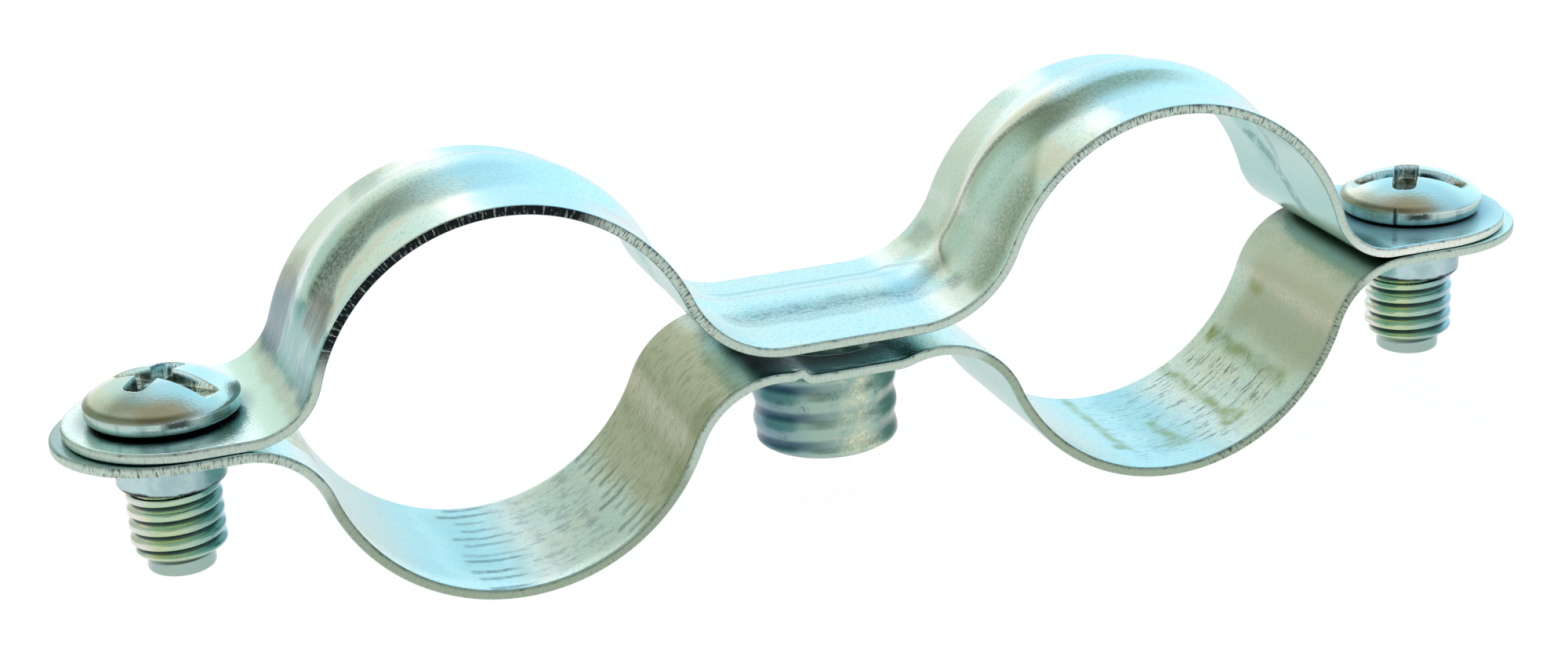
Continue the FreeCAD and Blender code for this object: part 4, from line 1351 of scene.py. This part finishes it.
# Marks, painted shade and painted highlights on the lower strap: windows, and stretches along and across it
# with their fades
LEFT_STAIN = (-15.0, -7.0, 2.0, -6.0, 6.0, 0.5)
LEFT_SMUDGES = (-21.2, -17.4, 1.0, -4.5, 5.0, 0.8)
FOOT_DRIPS = (-37.6, -35.7, 0.5, -2.8, 0.4, 0.6)
DISH_HIGHLIGHT = (-1.4, 2.6, 0.6, -5.62, -5.45, 0.15)
DISH_SHADE = (-5.2, 3.0, 1.3)
DISH_GAP = (-5.0, 2.4, 1.0)
DISH_GAP_SIDE = (-5.2, -3.7)
LEFT_END_SHADE = (-40.8, -42.2)
RIGHT_END_SHADE = (39.1, 40.4, 1.5)
TORN_PLACE = (-0.35, 0.35, 0.2)
TORN_SIDE = (-5.9, -5.45, 0.2)
SOCKET_REACH = (9.0, 8.0)
DULL_EDGE = ((-34.5, -12.5, 1.5), (8.0, 37.0, 1.5))
LOWER_TICKS = ((25.0, 37.0, 1.5), (-47.0, -38.5, 1.5))


def saddle_marks(finish, body):
    """Lays the stains, scores and runs of both saddles over a colour."""
    stain = finish.window(*LEFT_STAIN) * finish.speckle(1.4, 2.6, 0.45, 0.7)
    body = finish.mix(stain * 0.4, body, STAIN)
    smudges = finish.window(*LEFT_SMUDGES) * finish.speckle(1.0, 1.6, 0.48, 0.66)
    body = finish.mix(smudges * 0.35, body, STREAK)
    scores = dashes(finish)
    for group in SCORES:
        scores = scores + scored_rows(finish, *group)
    body = finish.mix(scores * 0.8, body, STREAK)
    body = finish.mix(run_stains(finish) * 0.75, body, RUN_OLIVE)
    drips = finish.window(*FOOT_DRIPS) * finish.speckle(1.5, 1.2, 0.3, 0.5)
    return finish.mix(drips * 0.55, body, MOSS)


def shaded_gaps(finish, body):
    """Lays painted shade and a painted black shadow between the straps, a painted highlight on the dish's
    lip, painted shade at both ends and a painted highlight on the torn lip by the socket over a colour.
    """
    along = finish.kept("along")
    across = finish.kept("across")
    body = finish.mix(finish.band(along, *DISH_SHADE) * 0.85, body, TEAL_SHADE)
    body = finish.mix(finish.band(along, *DISH_GAP) * finish.step(across, *DISH_GAP_SIDE), body, PAINTED_SHADE_BLACK)
    body = finish.mix(finish.window(*DISH_HIGHLIGHT) * 0.6, body, COOL_ZINC)
    body = finish.mix(finish.step(along, *LEFT_END_SHADE) * 0.6, body, TEAL_SHADE)
    body = finish.mix(finish.band(along, *RIGHT_END_SHADE), body, SHADE)
    # Painted highlight on the torn lip by the socket
    torn = finish.band(along - BURR_PLACE, *TORN_PLACE) * finish.band(across, *TORN_SIDE)
    return finish.mix(torn, body, PAINTED_HIGHLIGHT)


def lower_finish():
    """Zinc of the lower strap: scored and stained saddles with painted reflections and shade, a teal under
    face with painted shade, a socket with painted shade in its grooves.
    """
    finish = Finish("lower_strap_zinc")
    along = finish.kept("along")
    neck = finish.kept("neck")
    x, y, z = finish.millimetres()
    zinc, grain, height = sheet_zinc(finish)
    body = saddle_marks(finish, finish.patched(zinc, LOWER_REFLECTIONS_AND_STAINS))
    body = shaded_gaps(finish, body)
    top = finish.step(finish.kept("through"), *UPPER_FACE)
    body = finish.mix((1.0 - top) * (1.0 - neck), body, UNDER_TINT_AND_SHADE)
    socket = finish.step(abs(x), *SOCKET_REACH)
    drawn = finish.mix(socket, collar_zinc(finish, x, y, z), socket_zinc(finish, x, y, z))
    body = finish.mix(neck, body, drawn)
    dull, more = (finish.band(along, *stretch) for stretch in DULL_EDGE)
    right, left = (finish.band(along, *stretch) for stretch in LOWER_TICKS)
    edge = cut_edge(finish, finish.mix(dull + more, EDGE_PALE, EDGE_OLIVE), 0.0, right + 0.7 * left)
    cut = finish.step(finish.kept("rim"), *CUT_RIM)
    base = finish.mix(cut, body, edge)
    return finish.plate(base, 0.18 + 0.22 * cut + 0.1 * grain, height)


# Directions from each screw's axis: of the side that the photograph shows, and of a painted dark reflection
# on the rim
NEAR_SIDE = {"left": math.radians(-91.5), "right": math.radians(-120.0)}
RIM_DARK_REFLECTION = {"left": math.radians(-88.0), "right": math.radians(-113.0)}

# Painted reflections and shade on a head: heights over its seat, its rim or its foot, and how far to the
# right they begin and end
HEAD_SKY_REFLECTION = (1.2, 1.6)
SHOULDER_TAN = (0.3, 0.55, 0.25)
SHOULDER_TAN_SIDE = (1.4, -1.6)
SHOULDER_DARK = (0.02, 0.2, 0.16)
SHOULDER_DARK_SIDE = (2.6, -0.6)
RIM_WALL = (0.08, -0.12)
DARK_REFLECTION_REACH = (1.0, 0.3)
DARK_REFLECTION_HEIGHT = (0.36, 0.56, 0.14)
RECESS_SUNK = (0.1, 0.4)
RECESS_MARGIN = 0.3
FOOT_SHADOW = (0.14, 0.05)

# Tints and painted reflections of a thread: how far to the right the painted ones begin and end, where
# painted shade fills a head's nick, where the shank starts and the point fades in
PINK_SIDE = (-2.2, -1.2)
TEAL_SIDE = (-0.4, 1.5)
BLUE_SIDE = (1.7, 2.3)
TINT_SCALE = 700.0
NICK_SHADE = (-0.8, -0.1)
SHANK_START = (-0.5, -0.1)
SHANK_TOP = (-0.05, -0.2)
POINT_FADE = (0.15, -0.05)


def head_zinc(finish, side, x, y, z, lateral, grain):
    """Zinc of a head with a painted sky reflection on top, painted tan and dark olive reflections on its
    shoulder, painted shade on its rim wall and in its recess, a painted dark reflection on its rim, and a
    painted black shadow under its rim and in its nick.
    """
    streak = finish.noise(finish.vector(x * 2.2, y * 2.2, z * 0.3), 1.0, 3.0)
    head = finish.mix(finish.mottle(), COOL_ZINC, WARM_ZINC)
    head = finish.mix(finish.step(z, *HEAD_SKY_REFLECTION) * 0.4, head, PAINTED_BLUE_REFLECTION)
    over_rim = z - HEAD_RIM
    tanned = finish.band(over_rim + 0.9 * (streak - 0.5), *SHOULDER_TAN)
    head = finish.mix(tanned * finish.step(lateral, *SHOULDER_TAN_SIDE) * 0.55, head, PAINTED_TAN_REFLECTION)
    olive = finish.band(over_rim, *SHOULDER_DARK) * finish.step(lateral, *SHOULDER_DARK_SIDE)
    head = finish.mix(olive * 0.8, head, SHOULDER_DARK_REFLECTION)
    wall = finish.step(over_rim, *RIM_WALL)
    head = finish.mix(wall * 0.75, head, RIM_WALL_SHADE)
    head = finish.mix(wall * finish.step(streak, 0.48, 0.66) * 0.35, head, TEAL_SHADE)
    reflection_turn = RIM_DARK_REFLECTION[side]
    off = finish.length(x - HEAD_RADIUS * math.cos(reflection_turn), y - HEAD_RADIUS * math.sin(reflection_turn))
    dark_reflection = finish.step(off, *DARK_REFLECTION_REACH) * finish.band(z + (grain - 0.5) * 0.3, *DARK_REFLECTION_HEIGHT)
    head = finish.mix(dark_reflection * 0.9, head, PAINTED_SHADE_BLACK)
    foot, ball = head_ball()
    reach = finish.length(x, y)
    sunk = finish.step(HEAD_HEIGHT - reach * reach / (2.0 * ball) - z, *RECESS_SUNK)
    sunk = sunk * finish.step(reach, foot, foot - RECESS_MARGIN)
    head = finish.mix(sunk * (0.15 + 0.7 * finish.step(streak, 0.46, 0.6)), head, RECESS_SHADE)
    head = finish.mix(finish.step(z - HEAD_FOOT, *FOOT_SHADOW), head, PAINTED_SHADE_BLACK)
    return finish.mix(finish.step(finish.kept("thread"), *NICK_SHADE) * 0.85, head, PAINTED_SHADE_BLACK)


def thread_zinc(finish, z, lateral, grain):
    """Greenish zinc of a thread with painted reflections, pink on its left and blue on its right, with
    painted shade in its grooves and dark grain.
    """
    crest = finish.mix(finish.step(lateral, *PINK_SIDE), THREAD_PINK_REFLECTION, THREAD_ZINC)
    crest = finish.mix(finish.step(lateral, *TEAL_SIDE) * 0.9, crest, THREAD_TEAL_REFLECTION)
    crest = finish.mix(finish.step(lateral, *BLUE_SIDE), crest, THREAD_BLUE_REFLECTION)
    tint = finish.step(finish.noise(finish.place(), TINT_SCALE, 2.0), 0.42, 0.62)
    crest = finish.mix(tint * 0.35, crest, UNDER_TINT_AND_SHADE)
    thread = finish.mix(finish.step(finish.kept("thread"), 0.8, 1.0), crest, GROOVE_SHADE_AND_GRAIN)
    thread = finish.mix(finish.step(grain, 0.62, 0.75) * 0.35, thread, GROOVE_SHADE_AND_GRAIN)
    tip = finish.step(z + SCREW_LENGTH - POINT_LENGTH, *POINT_FADE)
    return finish.mix(tip * 0.85, thread, POINT_ZINC)


def screw_finish(side):
    """Zinc of a screw: a bright head and a greenish thread."""
    finish = Finish(f"screw_{side}_zinc")
    x, y, z = finish.millimetres()
    x = x - SCREW_X[side]
    z = z - SCREW_SEAT
    near = NEAR_SIDE[side]
    lateral = y * math.cos(near) - x * math.sin(near)
    grain = finish.grain()
    head = head_zinc(finish, side, x, y, z, lateral, grain)
    thread = thread_zinc(finish, z, lateral, grain)
    shank = finish.step(finish.kept("thread"), *SHANK_START) * finish.step(z - HEAD_FOOT, *SHANK_TOP)
    return finish.plate(finish.mix(shank, head, thread), 0.08 + 0.06 * grain, 1.2 * grain)


def add_piece(name, skin, material, body):
    """Puts a finished mesh into the scene in place of its solid."""
    piece = bpy.data.objects.new(f"{name}_plated", skin.mesh(f"{name}_mesh"))
    piece.data.materials.append(material)
    bpy.context.scene.collection.objects.link(piece)
    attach(piece, body)
    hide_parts(name)
    return piece


# Floor: how far it reaches in metres, its corners, how bright and how much of it is plain white
FLOOR_REACH = 3.0
FLOOR_CORNERS = ((-1, -1), (1, -1), (1, 1), (-1, 1))
FLOOR_GREY = colour(0.9, 0.9, 0.9)
FLOOR_WHITE = 1.02
FLOOR_SHARE = 0.96
WHITE_RAYS = ("Is Camera Ray", "Is Glossy Ray", "Is Transmission Ray")


def add_floor():
    """A pale floor that shows white to the camera and in the metal, with a faint shadow under the clip."""
    mesh = bpy.data.meshes.new("floor_mesh")
    corners = [(x * FLOOR_REACH, y * FLOOR_REACH, FLOOR_Z * MM) for x, y in FLOOR_CORNERS]
    mesh.from_pydata(corners, [], [(0, 1, 2, 3)])
    floor = bpy.data.objects.new("floor", mesh)
    material = bpy.data.materials.new("pale_floor")
    material.use_nodes = True
    nodes = Nodes(material.node_tree)
    nodes.tree.nodes.remove(nodes.tree.nodes["Principled BSDF"])
    seen = 0.0
    for ray in WHITE_RAYS:
        seen = seen + nodes.add("ShaderNodeLightPath", output=ray)
    matt = nodes.add("ShaderNodeBsdfDiffuse", sockets={"Color": FLOOR_GREY})
    white = nodes.add("ShaderNodeEmission", sockets={"Strength": FLOOR_WHITE})
    mixed = nodes.add("ShaderNodeMixShader", sockets={0: seen * FLOOR_SHARE, 1: matt, 2: white})
    nodes.put(nodes.tree.nodes["Material Output"].inputs["Surface"], mixed)
    mesh.materials.append(material)
    bpy.context.scene.collection.objects.link(floor)


# Soft studio light round the clip: degrees to the right of straight behind it, and colour
HORIZON = (
    (-180.0, colour(0.62, 0.70, 0.70)),
    (-150.0, colour(0.34, 0.37, 0.36)),
    (-115.0, colour(0.90, 0.95, 0.90)),
    (-70.0, colour(0.66, 0.80, 0.69)),
    (-48.0, colour(0.56, 0.70, 0.58)),
    (-38.0, colour(0.50, 0.61, 0.50)),
    (-24.0, colour(0.55, 0.66, 0.55)),
    (-15.0, colour(0.72, 0.81, 0.69)),
    (-3.0, colour(0.78, 0.90, 0.79)),
    (4.0, colour(1.14, 1.18, 1.13)),
    (9.0, colour(1.10, 1.18, 1.17)),
    (14.0, colour(0.72, 1.02, 1.11)),
    (50.0, colour(0.76, 1.09, 1.18)),
    (90.0, colour(0.46, 0.72, 0.78)),
    (120.0, colour(0.30, 0.34, 0.34)),
    (150.0, colour(0.84, 0.90, 0.90)),
    (180.0, colour(0.62, 0.70, 0.70)),
)
RAISED = (
    (-180.0, colour(0.60, 0.64, 0.70)),
    (-90.0, colour(0.62, 0.68, 0.62)),
    (-50.0, colour(0.42, 0.50, 0.40)),
    (-38.0, colour(0.25, 0.31, 0.24)),
    (-22.0, colour(0.34, 0.41, 0.36)),
    (-8.0, colour(0.56, 0.68, 0.66)),
    (5.0, colour(0.56, 0.84, 0.92)),
    (50.0, colour(0.50, 0.84, 0.96)),
    (90.0, colour(0.40, 0.62, 0.70)),
    (180.0, colour(0.60, 0.64, 0.70)),
)
OVERHEAD = colour(0.34, 0.32, 0.23)

# Elevations in degrees over which the horizon gives way to the panels, and the panels to the ceiling
PANELS = (32.0, 48.0)
CEILING = (56.0, 76.0)


def round_ramp(nodes, azimuth, stops):
    """Colour by azimuth in degrees."""
    places = [((angle + 180.0) / 360.0, shade) for angle, shade in stops]
    return nodes.add("ShaderNodeValToRGB", {"stops": places}, {0: (azimuth + 180.0) / 360.0})


def add_studio():
    """Soft studio surroundings: a light horizon, duller panels above it and a dark ceiling."""
    world = bpy.data.worlds.new("studio")
    bpy.context.scene.world = world
    world.use_nodes = True
    nodes = Nodes(world.node_tree)
    x, y, z = nodes.parts(nodes.add("ShaderNodeTexCoord", output="Generated"))
    azimuth = x.maths("ARCTAN2", x, y) * math.degrees(1.0)
    elevation = z.maths("ARCSINE", z) * math.degrees(1.0)
    raised = nodes.step(elevation, *PANELS)
    light = nodes.mix(raised, round_ramp(nodes, azimuth, HORIZON), round_ramp(nodes, azimuth, RAISED))
    light = nodes.mix(nodes.step(elevation, *CEILING), light, OVERHEAD)
    nodes.put(world.node_tree.nodes["Background"].inputs["Color"], light)


def add_camera():
    """A camera at the photograph's angle, aimed beside the middle of the pipe axes."""
    right = Vector((math.cos(CAMERA_AZIMUTH), math.sin(CAMERA_AZIMUTH), 0.0))
    back = Vector((
        math.sin(CAMERA_AZIMUTH) * math.cos(CAMERA_ELEVATION),
        -math.cos(CAMERA_AZIMUTH) * math.cos(CAMERA_ELEVATION),
        math.sin(CAMERA_ELEVATION),
    ))
    up = back.cross(right)
    side = right * math.cos(CAMERA_ROLL) + up * math.sin(CAMERA_ROLL)
    over = up * math.cos(CAMERA_ROLL) - right * math.sin(CAMERA_ROLL)
    data = bpy.data.cameras.new("camera")
    data.sensor_fit = "HORIZONTAL"
    data.sensor_width = SENSOR_WIDTH
    data.lens = SENSOR_WIDTH * FOCAL_PIXELS / IMAGE_WIDTH
    data.clip_start = MM
    camera = bpy.data.objects.new("camera", data)
    place = back * CAMERA_DISTANCE - side * CAMERA_SHIFT_RIGHT - over * CAMERA_SHIFT_UP
    place = (place + Vector((0.0, 0.0, PIPE_Z))) * MM
    camera.matrix_world = Matrix.Translation(place) @ Matrix((side, over, back)).transposed().to_4x4()
    bpy.context.scene.collection.objects.link(camera)
    bpy.context.scene.camera = camera


add_piece("upper_strap", upper_strap(), upper_finish(), "upper_strap")
add_piece("lower_strap", lower_strap(), lower_finish(), "lower_strap")
add_piece("screw_left", screw("left"), screw_finish("left"), "screw_left")
add_piece("screw_right", screw("right"), screw_finish("right"), "screw_right")
add_floor()
add_studio()
add_camera()
bpy.context.scene.view_settings.view_transform = "Standard"
